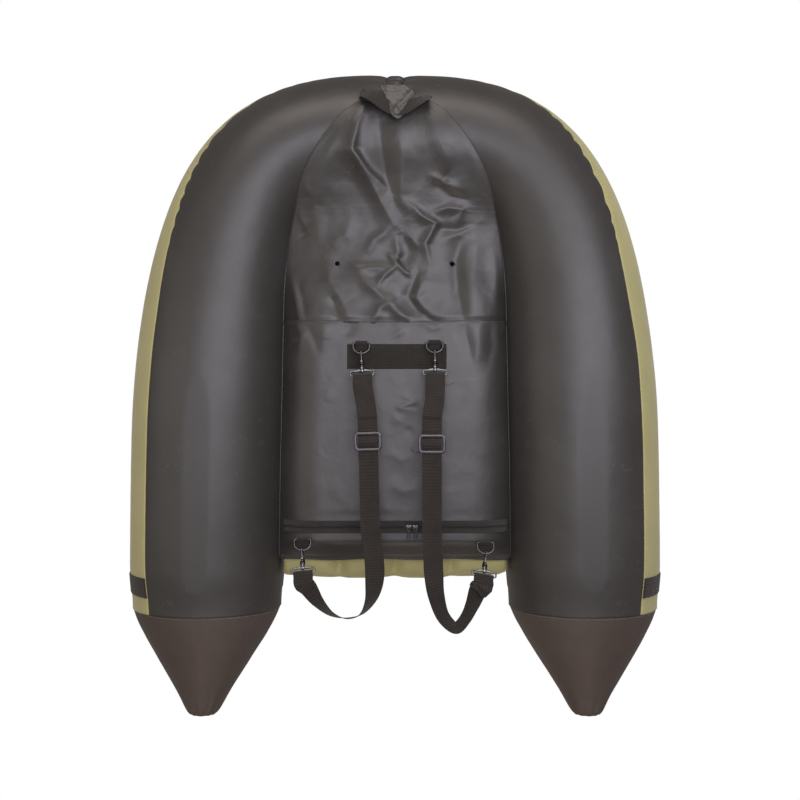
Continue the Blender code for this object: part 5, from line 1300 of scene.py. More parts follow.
# Places as shares of the harness's reach, with the twist in degrees
LEFT_ROUTE = (
    (0.1140, -0.036, 0.0270, 0), (0.1085, -0.076, 0.0130, 0), (0.1060, -0.110, FLAT_RUN, 0),
    (0.1050, -0.148, FLAT_RUN, 0), (0.0962, -0.4814, FLAT_RUN, 0), (0.0951, -0.523, FLAT_RUN, 0),
    (0.0815, -0.633, 0.0120, 0), (0.0775, -0.719, 0.0170, 15), (0.0900, -0.806, 0.0310, 52),
    (0.1300, -0.868, 0.0420, 78), (0.1874, -0.885, 0.0460, 82), (0.2500, -0.868, 0.0490, 66),
    (0.3020, -0.822, 0.0510, 44), (0.3420, -0.765, 0.0520, 16))
RIGHT_ROUTE = (
    (-0.1560, -0.036, 0.0270, 0), (-0.1480, -0.076, 0.0130, 0), (-0.1456, -0.110, FLAT_RUN, 0),
    (-0.1456, -0.148, FLAT_RUN, 0), (-0.1456, -0.4814, FLAT_RUN, 0), (-0.1456, -0.523, FLAT_RUN, 0),
    (-0.1496, -0.633, 0.0120, 0), (-0.1530, -0.704, 0.0150, 10), (-0.1640, -0.790, 0.0260, 32),
    (-0.1960, -0.880, 0.0370, 52), (-0.2420, -0.918, 0.0430, 62), (-0.2760, -0.885, 0.0470, 62),
    (-0.3060, -0.826, 0.0510, 50), (-0.3300, -0.770, 0.0530, 24))


def strap_route(upper, lower, shares):
    lead = STRAP_CLOSE_RUN * 1.6
    ends = [[upper.bar + upper.down * lead * part for part in (0, 0.5, 1)],
            [lower.bar + lower.down * lead * part for part in (1, 0.5, 0)]]
    middle = [Vector((x * HARNESS_REACH, y * HARNESS_REACH + SHIFT_Y, z * HARNESS_REACH, degrees / 1000))
              for x, y, z, degrees in shares]
    return [Vector((*p, 0)) for p in ends[0]] + middle + [Vector((*p, 0)) for p in ends[1]]


def build_strap(word, shares, bulge):
    route = strap_route(CHAINS[word + "_upper"], CHAINS[word + "_lower"], shares)
    rows = strap_rows(route, UPPER_TAIL, LOWER_TAIL, bulge)
    bm, length = add_webbing(rows, WEBBING_WIDTH, WEBBING_THICKNESS, 0.0003)
    tail = round(UPPER_TAIL / STRAP_STEP)
    lanes = [(tail + 16, tail + 24, 0.38 * WEBBING_WIDTH * sign) for sign in (-1, 1)]
    SEWN_STRAPS.append((rows, lanes))
    made = object_from(bm, word + "_webbing_strap", BLACK_WEBBING, replaces=(word + "_strap",))
    print("%s strap: %.3f m of webbing" % (word, length))


SEWN_STRAPS = []
build_strap("left", LEFT_ROUTE, 0)
build_strap("right", RIGHT_ROUTE, RIGHT_LOOP_BULGE)


# %% Ring tabs
def build_tab(chain):
    """Webbing folded round the ring's bar, both layers sewn to the floor."""
    reach = RING_WIRE_RADIUS + GAP + TAB_THICKNESS / 2
    centre, rows = chain.origin, []
    top = chain.floor_z - GAP - TAB_THICKNESS / 2
    for k in range(7):
        rows.append((Vector((centre.x, centre.y - TAB_LENGTH * (1 - k / 7), top)), SIDEWAYS, UPWARDS))
    for k in range(13):
        turn = math.pi * (0.5 - 1.12 * k / 12)
        out = Vector((0, math.cos(turn), math.sin(turn)))
        rows.append((centre + out * reach, SIDEWAYS, out))
    last = rows[-1][0]
    second = Vector((centre.x, centre.y - TAB_LENGTH * 0.94, top - TAB_THICKNESS * 1.1))
    for k in range(1, 8):
        rows.append((last.lerp(second, k / 7) + UPWARDS * 0.0008 * math.sin(math.pi * k / 7),
                     SIDEWAYS, Vector((0, -0.12, -1)).normalized()))
    bm, length = add_webbing(rows, TAB_WIDTH, TAB_THICKNESS * 0.95, 0.0002)
    made = object_from(bm, chain.word + "_webbing_tab", BLACK_WEBBING, "hull", (chain.word + "_tab",))


for chain in CHAINS.values():
    build_tab(chain)
print("ring tabs: %d mm wide" % (TAB_WIDTH * 1000))

# %% [markdown]
# The adjusters are cast frames with a middle bar behind the strap. Each carries a short loop of webbing
# over that bar, which bulges forward in the window, and it slides along the strap with its adjuster.

# %% Adjusters
SLIDER_WIDTH, SLIDER_LENGTH, SLIDER_CORNER = 0.053, 0.037, 0.008
SLIDER_BAR, SLIDER_BAR_THICKNESS, CROSS_BAR_RADIUS = 0.0055, 0.0030, 0.0014
LOOP_BULGE, LOOP_HALF_LENGTH = 0.0052, 0.0082


def build_adjuster(word, x, y, turn_degrees):
    face_z = FLAT_RUN * HARNESS_REACH + (WEBBING_THICKNESS + GAP) / 2 - WEBBING_THICKNESS / 2 - GAP
    place = Matrix.Translation((x, y + SHIFT_Y, face_z)) @ Matrix.Rotation(math.radians(turn_degrees), 4, "Z")
    mid = -SLIDER_BAR_THICKNESS / 2
    half_x, half_y = (SLIDER_WIDTH - SLIDER_BAR) / 2, (SLIDER_LENGTH - SLIDER_BAR) / 2
    corner = SLIDER_CORNER - SLIDER_BAR / 2
    loop = []
    for sign_x, sign_y, first in ((1, 1, 0), (-1, 1, 90), (-1, -1, 180), (1, -1, 270)):
        centre = Vector((sign_x * (half_x - corner), sign_y * (half_y - corner), mid))
        for k in range(6):
            turn = math.radians(first + 18 * k)
            loop.append(place @ (centre + Vector((math.cos(turn), math.sin(turn), 0)) * corner))
    bm = bmesh.new()
    add_rod(bm, loop, SLIDER_BAR / 2, UPWARDS, closed=True)
    squeeze = SLIDER_BAR_THICKNESS / SLIDER_BAR
    for vert in bm.verts:
        vert.co.z = face_z + mid + (vert.co.z - face_z - mid) * squeeze
    behind = WEBBING_THICKNESS + GAP * 4 + CROSS_BAR_RADIUS
    crossing = [(-half_x, mid), (-half_x + 0.0012, behind * 0.6), (-half_x + 0.0030, behind),
                (0, behind), (half_x - 0.0030, behind), (half_x - 0.0012, behind * 0.6), (half_x, mid)]
    turned = place.to_3x3()
    add_rod(bm, [place @ Vector((a, 0, b)) for a, b in crossing], CROSS_BAR_RADIUS, turned @ Vector((0, 1, 0)))
    close_metal(bm, word + "_three_bar_adjuster", DARK_NICKEL, word + "_adjuster", (word + "_adjuster",))
    wave = []
    for k in range(17):
        turn = math.pi * (k / 16 - 0.5)
        low = 0.0004 - LOOP_BULGE * math.cos(turn)
        tilt = Vector((0, math.sin(turn), -math.cos(turn) - 0.05)).normalized()
        wave.append((place @ Vector((0, LOOP_HALF_LENGTH * math.sin(turn), low)), turned @ SIDEWAYS, turned @ tilt))
    wrap, length = add_webbing(wave, WEBBING_WIDTH * 0.985, WEBBING_THICKNESS * 0.8, 0.0002)
    made = object_from(wrap, word + "_adjuster_loop", BLACK_WEBBING, word + "_adjuster")


build_adjuster("left", 0.10505 * HARNESS_REACH, -0.1864 * HARNESS_REACH, -1.51)
build_adjuster("right", -0.1456 * HARNESS_REACH, -0.1962 * HARNESS_REACH, 0.0)
print("adjusters on both straps")

# %% [markdown]
# ## Patch and zipper
#
# A wide piece of webbing spreads the pull of the two upper rings. It is sewn down all round. The pocket
# closes with a coil zipper near the seat's front edge: two woven tapes, sewn to the pocket, with a spiral
# of nylon in the middle whose turns lock into each other. Two sliders meet near the centre.

# %% Webbing patch
def flat_strip(name, finish, low, high, height, columns, rows, thickness, replaced=()):
    """Flat sewn piece on the floor, from its low to its high corner, with height(x, y) for its outer face."""
    size = (high[0] - low[0], high[1] - low[1])

    def place(u, v):
        x, y = low[0] + size[0] * u, low[1] + size[1] * v
        rim = 0.0006 * (abs(2 * u - 1) ** 60 + abs(2 * v - 1) ** 16)
        return Vector((x, y, height(x, y) + rim))

    return lay_cloth(cloth_grid(columns, rows, place, size), name, DOWN, finish, replaced, thickness)[0]


PATCH_SEAM_INSET = 0.005


def patch_height(x, y):
    off = min(abs(y - edge) for edge in (PATCH_Y - PATCH_WIDTH / 2 + PATCH_SEAM_INSET,
                                         PATCH_Y + PATCH_WIDTH / 2 - PATCH_SEAM_INSET))
    return PATCH_FACE_Z + 0.0004 * bell(off, 0.0013) + 0.0002 * noise.noise((x * 60, y * 60, 2.0))


strap_patch = flat_strip("webbing_patch", PATCH_WEBBING, (PATCH_X - PATCH_LENGTH / 2, PATCH_Y - PATCH_WIDTH / 2),
                         (PATCH_X + PATCH_LENGTH / 2, PATCH_Y + PATCH_WIDTH / 2), patch_height, 120, 40,
                         PATCH_THICKNESS, ("strap_patch",))
print("webbing patch %.0f x %.0f mm" % (PATCH_LENGTH * 1000, PATCH_WIDTH * 1000))

# %% Zipper tapes and coil
ZIPPER_Y, ZIPPER_TAPE_WIDTH, ZIPPER_TAPE_THICKNESS = -0.2677 + SHIFT_Y, 0.025, 0.0006
ZIPPER_REACH_SHARE, COIL_PITCH, COIL_RADIUS, COIL_WIRE = 0.972, 0.0030, 0.0016, 0.0006
COIL_STEPS, COIL_SIDES, COIL_FLATTENING = 10, 5, 1.35
ZIPPER_HALF = panel_edge(round(ZIPPER_Y, 4))[0] * ZIPPER_REACH_SHARE


def tape_height(x, y):
    along = min(max((abs(x) / ZIPPER_HALF - 0.74) / 0.26, 0), 1)
    fold = 0.0009 * bell(abs(y - ZIPPER_Y) - ZIPPER_TAPE_WIDTH / 2, 0.0018)
    return pocket_z(x, ZIPPER_Y) - 0.0005 - 0.0009 * along - ZIPPER_TAPE_THICKNESS - fold


for word, sign in (("front", -1), ("rear", 1)):
    near, far = ZIPPER_Y + sign * 0.0004, ZIPPER_Y + sign * ZIPPER_TAPE_WIDTH / 2
    tape = flat_strip("zip_tape_" + word, TAPE_WEAVE, (-ZIPPER_HALF, min(near, far)), (ZIPPER_HALF, max(near, far)),
                      tape_height, 200, 10, ZIPPER_TAPE_THICKNESS, ("seat_zipper",) if sign > 0 else ())

coil = bmesh.new()
coil_length = ZIPPER_HALF * 1.98
turns = int(coil_length / COIL_PITCH)
wire = bmesh.ops.create_grid(coil, x_segments=turns * COIL_STEPS, y_segments=COIL_SIDES, size=0.5)
for vert in wire["verts"]:
    step = (vert.co.x + 0.5) * turns
    x = (step / turns - 0.5) * coil_length
    turn, round_wire = 2 * math.pi * step, 2 * math.pi * (vert.co.y + 0.5)
    out = Vector((0, math.cos(turn) * COIL_FLATTENING, math.sin(turn)))
    middle = Vector((x, ZIPPER_Y, tape_height(x, ZIPPER_Y) - COIL_RADIUS * 0.55)) + out * COIL_RADIUS * 0.8
    vert.co = middle + (out.normalized() * math.cos(round_wire) + SIDEWAYS * math.sin(round_wire)) * COIL_WIRE
bmesh.ops.remove_doubles(coil, verts=coil.verts, dist=0.00001)
bmesh.ops.recalc_face_normals(coil, faces=coil.faces)
object_from(coil, "zip_coil", NYLON)
print("zipper: %.0f mm, %d turns of the coil" % (ZIPPER_HALF * 2000, turns))

# %% Sliders and pulls
ZIP_BODY_LENGTH, ZIP_BODY_WIDTH, ZIP_BODY_WALL, ZIP_BAIL_RADIUS = 0.012, 0.010, 0.0012, 0.0008
ZIP_PULL_LENGTH, ZIP_PULL_WIDTH = 0.026, 0.0065
ZIP_PAIR_CENTRE_X, ZIP_PAIR_SPACING = -0.0348, 0.0134
SLIDER_LOW = POCKET_FLOOR_Z - GAP * 2 - ZIPPER_TAPE_THICKNESS - 0.002 - ZIP_BODY_WALL
BAIL_Z = SLIDER_LOW - ZIP_BAIL_RADIUS * 2 - GAP


def build_zip_slider(number, x):
    """A waisted body over the coil, and a bail bent from wire."""
    bm = bmesh.new()
    grid = bmesh.ops.create_grid(bm, x_segments=20, y_segments=16, size=0.5)
    for vert in grid["verts"]:
        turn = 2 * math.pi * (vert.co.x + 0.5)
        t = vert.co.y * 2
        close = min(1, (1 - abs(t)) * 7) ** 0.5
        wide = ZIP_BODY_WIDTH / 2 * (0.84 + 0.16 * t * t) * close
        tall = (ZIP_BODY_WALL / 2 + 0.0016) * close
        flat, high = (math.copysign(abs(v) ** 0.5, v) for v in (math.cos(turn), math.sin(turn)))
        vert.co = Vector((x + t * ZIP_BODY_LENGTH / 2, ZIPPER_Y + wide * flat, SLIDER_LOW + 0.0022 + tall * high))
    bmesh.ops.remove_doubles(bm, verts=bm.verts, dist=0.00001)
    ear = ZIP_PULL_WIDTH / 2 + GAP + ZIP_BODY_WALL / 2
    bail = [(-ear, 0.0006), (-ear, -0.0012), (-ear + 0.0008, -0.0024), (0, -0.0025), (ear - 0.0008, -0.0024),
            (ear, -0.0012), (ear, 0.0006)]
    add_rod(bm, [Vector((x + a, ZIPPER_Y, SLIDER_LOW + b)) for a, b in bail], ZIP_BAIL_RADIUS * 0.9,
            Vector((0, 1, 0)))
    close_metal(bm, "zip_slider_body_%d" % number, DARK_NICKEL, "zip_slider_%d" % number,
                ("seat_zip_slider_%d" % number,))


def build_zip_pull(number, x):
    """Pull of bent wire: a long loop that is narrow at the bail and rounded at its end."""
    half, end = ZIP_PULL_WIDTH / 2 - ZIP_BAIL_RADIUS, ZIP_PULL_LENGTH - 0.0009
    outline = [(-half * 0.75, 0.001), (0, 0.0016), (half * 0.75, 0.001), (half * 0.85, -0.003), (half, -0.009),
               (half, -end * 0.55), (half, -end + half)]
    for k in range(1, 6):
        turn = math.pi * k / 6
        outline.append((half * math.cos(turn), -end + half - half * math.sin(turn)))
    outline += [(-half, -end + half), (-half, -end * 0.55), (-half, -0.009), (-half * 0.85, -0.003)]
    bm = bmesh.new()
    add_rod(bm, [Vector((x + a, ZIPPER_Y + b, BAIL_Z)) for a, b in outline], 0.0009, UPWARDS, closed=True, sides=12)
    rung = [Vector((x + a, ZIPPER_Y - 0.0078, BAIL_Z)) for a in (-half, -half / 2, 0, half / 2, half)]
    add_rod(bm, rung, 0.0008, UPWARDS, sides=12)
    close_metal(bm, "zip_pull_loop_%d" % number, DARK_NICKEL, "zip_pull_%d" % number,
                ("seat_zip_pull_%d" % number,))


for number in (1, 2):
    centre = ZIP_PAIR_CENTRE_X + ZIP_PAIR_SPACING * (1.5 - number)
    build_zip_slider(number, centre)
    build_zip_pull(number, centre)
print("two zip sliders with wire pulls")

# %% [markdown]
# ## Closed end: gather, carry handle and tongue
#
# Where the two tubes meet, their skins are drawn together in a bunch of pleats. A webbing handle crosses in
# front of it, from one tube's cover to the other, and stands off so that a hand fits behind. A tongue of
# cloth comes out of the gather, laps over the handle's middle and ends in a rounded tip. The tongue's
# outline isn't symmetric, so it is given by its left and right edge on the picture.

# %% Gather
GATHER_HALF, GATHER_RADIUS, PLEATS = 0.0190, 0.1140, 23
GATHER_DEPTH = 0.0060


def gather_place(u, v):
    """Place on the ring of pleats: u round the ring, v across the notch."""
    turn, t = 2 * math.pi * u, 2 * v - 1
    drift = noise.noise((math.cos(turn) * 2.2, math.sin(turn) * 2.2, t * 0.8))
    fold = abs(math.sin(PLEATS / 2 * turn + 1.6 * drift + 0.35 * t))
    reach = GATHER_RADIUS - GATHER_DEPTH * (1 - fold) * (1.2 - 0.4 * t * t) - 0.0060 * abs(t) ** 3 + 0.0018 * drift
    shift = 0.0020 * math.sin(3 * turn + 2 * drift)
    return Vector((GATHER_HALF * t + shift, REAR_AXIS_Y + reach * math.cos(turn),
                   AXIS_HEIGHT + reach * math.sin(turn)))


bm = cloth_grid(380, 14, gather_place, (GATHER_RADIUS * 7, GATHER_HALF * 2.2), closed=True)
gather, area = lay_cloth(bm, "pleated_gather", lambda c: c - Vector((0, REAR_AXIS_Y, AXIS_HEIGHT)), PANEL_PVC,
                         ("rear_gather",))
print("pleats of the gather:", PLEATS)

# %% Carry handle
HANDLE_HALF_SPAN, HANDLE_WIDTH, HANDLE_CUT_WIDTH, HANDLE_THICKNESS = 0.068, 0.036, 0.031, 0.0022
HANDLE_Y, HANDLE_SAG, HANDLE_X = 0.585 + SHIFT_Y, 0.022, -0.0054


def cover_underside(x, y):
    low = last_share(0.8, 1.0, lambda point: point.x > abs(x), 30)
    centre = middle_line(low)[0]
    return centre.z - math.sqrt(max(tube_radius(low) ** 2 - (y - centre.y) ** 2, 0))


HANDLE_TOP = cover_underside(HANDLE_HALF_SPAN + abs(HANDLE_X), HANDLE_Y - HANDLE_WIDTH / 2) - CLOTH * 3 - GAP * 2


def handle_height(u):
    return HANDLE_TOP - HANDLE_SAG * (1 - u ** 4)


# Middle of the handle on the picture, with its tilt there in degrees
HANDLE_LINE = (
    (361.5, 92.5, 44), (366, 93.2, 40), (372, 95.6, 34), (380, 101.0, 30), (389, 107.6, 30), (397, 110.8, 32),
    (405, 108.6, 36), (414, 103.0, 40), (422, 99.2, 48), (428, 97.0, 60), (431, 96.0, 68))
# Radius of the handle's turn under the left cover, and the angles of its rows
TURN_RADIUS, TURN_ANGLES = 0.0042, (3.1, 2.6, 2.1, 1.6, 1.1, 0.6)


def read_column(table, column, line, reach):
    """Value of one column of a table at a line that may lie between two of its rows."""
    return smooth_table([(i, row[column]) for i, row in enumerate(table)], line, reach)


def handle_point(line):
    px, py = (read_column(HANDLE_LINE, column, line, 0.6) for column in (0, 1))
    flat = from_picture(px, py, HANDLE_TOP)
    u = max(min((flat.x - HANDLE_X) / HANDLE_HALF_SPAN, 1), -1)
    return from_picture(px, py, handle_height(u) - HANDLE_THICKNESS / 2)


def handle_frame(line):
    """Middle, flat width direction, running direction and tilt of the handle."""
    tilt = math.radians(read_column(HANDLE_LINE, 2, line, 0.6))
    along = (handle_point(min(line + 0.2, 10)) - handle_point(max(line - 0.2, 0))).normalized()
    flat_across = along.cross(UPWARDS).normalized()
    return handle_point(line), flat_across if flat_across.y > 0 else -flat_across, along, tilt


rows = []
for k in range(65):
    middle, flat_across, along, tilt = handle_frame((len(HANDLE_LINE) - 1) * k / 64)
    across = flat_across * math.cos(tilt) + UPWARDS * math.sin(tilt)
    out = across.cross(along).normalized()
    rows.append((middle, across, out if out.z < 0 else -out))
first, across, out = rows[0]
along = (rows[1][0] - rows[0][0]).normalized()
turned = [(first - along * (TURN_RADIUS * math.sin(a)) - out * (TURN_RADIUS * (1 - math.cos(a))), across,
           (out * math.cos(a) - along * math.sin(a)).normalized()) for a in TURN_ANGLES]
inner = [(turned[0][0] + along * 0.006 * k, across, turned[0][2]) for k in (3, 2, 1)]
bm, handle_length = add_webbing(inner + turned + rows, HANDLE_CUT_WIDTH, HANDLE_THICKNESS * 0.8, 0.0006)
handle = object_from(bm, "webbing_handle", BLACK_WEBBING, replaces=("carry_handle",))
print("carry handle: %.0f mm of webbing" % (handle_length * 1000))

# %% Tongue
# Rows of the tongue on the picture: its line, its left edge and its right edge
TONGUE_EDGES = ((84.5, 379.0, 404.0), (86.5, 379.5, 407.5), (88.5, 381.0, 410.8), (91.0, 383.0, 414.0),
                (93.5, 384.4, 416.0), (96.0, 385.5, 414.0), (99.0, 386.5, 410.4), (103, 387.5, 407.8),
                (107, 388.5, 406.3), (111, 389.8, 405.2), (114.5, 391.6, 403.6), (117, 394.0, 401.2),
                (118.4, 396.8, 398.6))
# Creases of the tongue: the column and the line on the picture that each one passes, its slant, its width in
# pixels and its height
TONGUE_CREASES = ((397, 100, 0.20, 6.5, 0.0026), (411, 92, 0.9, 4.0, 0.0022), (388, 92, -0.30, 3.0, -0.0012))
TONGUE_THICKNESS = 0.0016
HANDLE_FRAMES = [handle_frame(k / 8) for k in range(8, 73)]


def tongue_place(u, v):
    line = v * (len(TONGUE_EDGES) - 1)
    py = blend_table([(i, row[0]) for i, row in enumerate(TONGUE_EDGES)], line)
    left, right = (read_column(TONGUE_EDGES, column, line, 0.5) for column in (1, 2))
    px = left + (right - left) * u
    flat = from_picture(px, py, 0.03)
    centre, flat_across, _, tilt = min(HANDLE_FRAMES, key=lambda f: (f[0].xy - flat.xy).length)
    off = (flat - centre).dot(flat_across)
    over = centre.z - 0.0026 + off * (math.tan(tilt) if off < 0.013 else 0.45) + (off >= 0.013) * 0.002
    relief = sum(height * bell(px - column + (py - crossed) * slant, width)
                 for column, crossed, slant, width, height in TONGUE_CREASES)
    curl = 0.0012 * (abs(2 * u - 1) ** 6) * ease((py - 88) / 10)
    z = over - relief + curl + 0.0005 * noise.noise((px * 0.35, py * 0.35, 2.0))
    return from_picture(px, py, z)


bm = cloth_grid(40, 52, tongue_place, (0.062, 0.074))
tongue, area = lay_cloth(bm, "cloth_tongue", DOWN, PANEL_PVC, ("handle_grip",), TONGUE_THICKNESS)

# %% [markdown]
# ## Upper side: rear cover and valves
#
# The photograph doesn't show the upper side. It has what such a boat has: an olive cover stretched over the
# storage space from tube to tube, and a screw valve on each tube.

# %% Rear cover
REAR_COVER_START, REAR_COVER_END, REAR_COVER_DEGREES, REAR_COVER_CROWN = 0.60, 0.925, 232, 0.012


def rear_cover_place(u, v):
    """Place on the cover: u from tube to tube, v from its open edge to the closed end."""
    share = REAR_COVER_START + (REAR_COVER_END - REAR_COVER_START) * v
    edge = on_tube(share, REAR_COVER_DEGREES, 0.0006)
    t = 2 * u - 1
    x, y = edge.x * t, edge.y
    pull = 0.0030 * math.sin(7 * math.pi * v) * (1 - abs(t)) ** 2 * math.exp(-(1 - abs(t)) * 3)
    wave = 0.0022 * noise.noise((x * 12, y * 9, 5.0)) + 0.0008 * noise.noise((x * 40, y * 36, 9.0))
    hem = 0.0012 * bell(v - 0.035, 0.012)
    slack = 0.012 * (1 - t * t) * math.exp(-v * 3.5)
    z = edge.z + REAR_COVER_CROWN * (1 - t * t) + (wave + pull) * (1 - t ** 8) + hem - slack
    return Vector((x, y + 0.010 * (1 - t * t) * (1 - v) ** 3, z))


bm = cloth_grid(110, 70, rear_cover_place, (0.40, 0.36))
rear_cover, area = lay_cloth(bm, "storage_cover", UPWARDS, OLIVE_CLOTH, ("rear_cover",))

# %% Valves
# A valve stands on one face of the solid's cover: two stations along the tube, two of twelve steps round
VALVE_STATIONS, VALVE_STEPS, VALVE_SEAM_DEGREES = (0.46, 0.53), (6, 7), 279
VALVE_RADIUS, VALVE_HEIGHT, VALVE_CAP_HEIGHT = 0.015, 0.008, 0.006
VALVE_FLANGE_RADIUS, VALVE_FLANGE_HEIGHT, KNURLS, KNURL_DEPTH = 0.020, 0.003, 20, 0.0007


def build_valve(word, side):
    corners = []
    for share in VALVE_STATIONS:
        low = outer_seam(share)
        corners += [on_tube(share, low + (VALVE_SEAM_DEGREES - low) * k / 12, 0, side) for k in VALVE_STEPS]
    base = sum(corners, Vector()) / 4
    out = (corners[3] - corners[0]).cross(corners[2] - corners[1]).normalized()
    out = out if out.z > 0 else -out
    start = base + out * (max((c - base).dot(out) for c in corners) + GAP)
    r, h, f = VALVE_RADIUS, VALVE_FLANGE_HEIGHT, VALVE_FLANGE_RADIUS
    top = h + VALVE_HEIGHT
    bm = bmesh.new()
    add_turned(bm, ((0, 0), (f - 0.001, 0), (f, 0.0010), (f, h - 0.0012), (f - 0.0010, h), (r + 0.0022, h),
                    (r + 0.0006, h + 0.0010), (r - 0.0012, h + 0.0022), (r - 0.0004, h + 0.0030),
                    (r - 0.0012, h + 0.0040), (r - 0.0004, h + 0.0048), (r - 0.0012, h + 0.0058),
                    (r - 0.0012, top), (r * 0.55, top), (r * 0.50, top - 0.002), (0, top - 0.002)), start, out, 48)
    close_metal(bm, word + "_valve_body", NYLON, "hull", (word + "_valve",))
    cap = bmesh.new()
    high = VALVE_CAP_HEIGHT
    add_turned(cap, ((0, 0), (r - 0.0006, 0), (r, 0.0006), (r, 0.0020), (r, 0.0036), (r, high - 0.0012),
                     (r - 0.0016, high - 0.0002), (r * 0.62, high), (r * 0.55, high - 0.0014), (0, high - 0.0014)),
               start + out * (top + GAP), out, 60)
    spoke = out.orthogonal()
    for vert in cap.verts:
        away = vert.co - start
        level = away.dot(out)
        flat = away - out * level
        if flat.length > r * 0.97:
            turn = math.atan2(flat.dot(spoke.cross(out)), flat.dot(spoke))
            vert.co -= flat.normalized() * KNURL_DEPTH * (0.5 + 0.5 * math.cos(turn * KNURLS))
    crest = start + out * (top + GAP + high + 0.0008)
    add_rod(cap, [crest + spoke * r * 0.48 * k / 4 for k in range(-4, 5)], 0.0013,
            out.cross(spoke).cross(spoke).normalized(), sides=12)
    close_metal(cap, word + "_valve_cap_knurled", NYLON, word + "_cap", (word + "_valve_cap",))


for word, side in (("left", 1), ("right", -1)):
    build_valve(word, side)
print("two screw valves")

# %% [markdown]
# ## Seat and backrest cushions
#
# Both are inflatable cushions in olive cloth, with three sewn channels that divide each into four lobes.
# A cushion starts as a box of many small faces, moved onto a slightly slack form. It is remeshed, and cloth
# simulation then blows it up: the seams are pinned, the cloth between them swells and draws wrinkles
# towards them. How far it may swell is capped, so it stays in the solid model's place. The remesh takes the
# seams' fine detail away, so piping and stitches are laid on the finished form.

# %% Inflate a cushion
LOBES, CUSHION_FRAMES, CUSHION_PRESSURE, CUSHION_SWELL = 4, 20, 4.0, 0.009
# Cloth this near a channel is pinned
SEAM_HALF_WIDTH = 0.004


def lobe_height(share):
    return abs(math.sin(math.pi * LOBES * share)) ** 0.6


def cushion_box(columns, rows, layers, place):
    """Box of many faces, moved by place(u, v, w), with all three from 0 to 1."""
    bm = bmesh.new()
    bmesh.ops.create_cube(bm, size=1.0)
    for axis, cuts in ((0, columns), (1, rows), (2, layers)):
        along = [e for e in bm.edges if abs((e.verts[0].co - e.verts[1].co)[axis]) > 0.9]
        bmesh.ops.subdivide_edges(bm, edges=along, cuts=cuts - 1, use_grid_fill=True)
    for vert in bm.verts:
        vert.co = place(*(round(c + 0.5, 5) for c in vert.co))
    bmesh.ops.recalc_face_normals(bm, faces=bm.faces)
    return bm


def box_map(data):
    """UV map in metres, laid from the side that each face looks to."""
    layer = data.uv_layers.new(name="cloth") if not data.uv_layers else data.uv_layers[0]
    for face in data.polygons:
        n = face.normal
        for index in face.loop_indices:
            co = data.vertices[data.loops[index].vertex_index].co
            if abs(n.z) >= max(abs(n.x), abs(n.y)):
                layer.data[index].uv = (co.x, co.y)
            elif abs(n.y) > abs(n.x):
                layer.data[index].uv = (co.x, co.z)
            else:
                layer.data[index].uv = (co.y, co.z)


def keep_result(made):
    """Put what the modifiers give in place of the mesh and the modifiers."""
    result = bpy.data.meshes.new_from_object(made.evaluated_get(bpy.context.evaluated_depsgraph_get()))
    made.modifiers.clear()
    made.data = result
    return result


def inflate(bm, name, sewn, voxel=0.0055):
    """Blow the closed form up as cloth. sewn(point) is 1 on a seam, which stays, and 0 off it."""
    slack = add_object(name + "_slack", mesh_from(bm, name + "_slack"))
    remesh = slack.modifiers.new("even_faces", "REMESH")
    remesh.mode, remesh.voxel_size = "VOXEL", voxel
    even = keep_result(slack)
    start = [v.co.copy() for v in even.vertices]
    pins = slack.vertex_groups.new(name="seams")
    for vert in even.vertices:
        pins.add([vert.index], sewn(vert.co), "REPLACE")
    cloth = slack.modifiers.new("air", "CLOTH")
    cloth.settings.use_pressure = True
    cloth.settings.uniform_pressure_force = CUSHION_PRESSURE
    cloth.settings.effector_weights.gravity = 0
    cloth.settings.vertex_group_mass = "seams"
    cloth.settings.quality = 4
    cloth.point_cache.frame_start, cloth.point_cache.frame_end = 1, CUSHION_FRAMES
    for frame_number in range(1, CUSHION_FRAMES + 1):
        bpy.context.scene.frame_set(frame_number)
    blown = keep_result(slack)
    bpy.context.scene.frame_set(1)
    for vert, before in zip(blown.vertices, start):
        move = vert.co - before
        if move.length > CUSHION_SWELL:
            vert.co = before + move.normalized() * CUSHION_SWELL
    form = bmesh.new()
    form.from_mesh(slack.data)
    bpy.data.objects.remove(slack)
    bmesh.ops.smooth_vert(form, verts=form.verts, factor=0.4, use_axis_x=True, use_axis_y=True, use_axis_z=True)
    bmesh.ops.recalc_face_normals(form, faces=form.faces)
    return form


def piping(name, points, radius, body="hull"):
    """Round cord in a sleeve of the cushion's cloth, closed along the points."""
    bm = bmesh.new()
    add_rod(bm, points, radius, UPWARDS, closed=True, sides=10)
    box_map(object_from(bm, name, OLIVE_CLOTH, body, ()).data)


def rim_shares(across, along):
    """(u, v) round the rim of a cushion, from its rear left corner, in steps of one over across and along."""
    return ([(k / across, 1) for k in range(across + 1)] + [(1, 1 - k / along) for k in range(1, along + 1)]
            + [(1 - k / across, 0) for k in range(1, across + 1)] + [(0, k / along) for k in range(1, along)])


def held_in(value, low, high):
    return min(max(value, low), high)


def off_channels(share, width):
    """Distance to the nearest channel."""
    return min(abs(share - k / LOBES) for k in range(1, LOBES)) * width


# %% Seat cushion
SEAT_FRONT_Y, SEAT_REAR_Y, SEAT_HALF_WIDTH = -0.378 + SHIFT_Y, 0.060 + SHIFT_Y, 0.2352
SEAT_MID_Z, SEAT_TOP_Z, LOBE_DEPTH, SEAT_EASE = 0.145, 0.212, 0.020, 0.004
SEAT_ENDS = ((0, 0.10), (0.012, 0.42), (0.035, 0.70), (0.075, 0.90), (0.14, 1), (0.86, 1), (0.93, 0.92),
             (0.975, 0.72), (1, 0.40))
SLACK = 0.0075


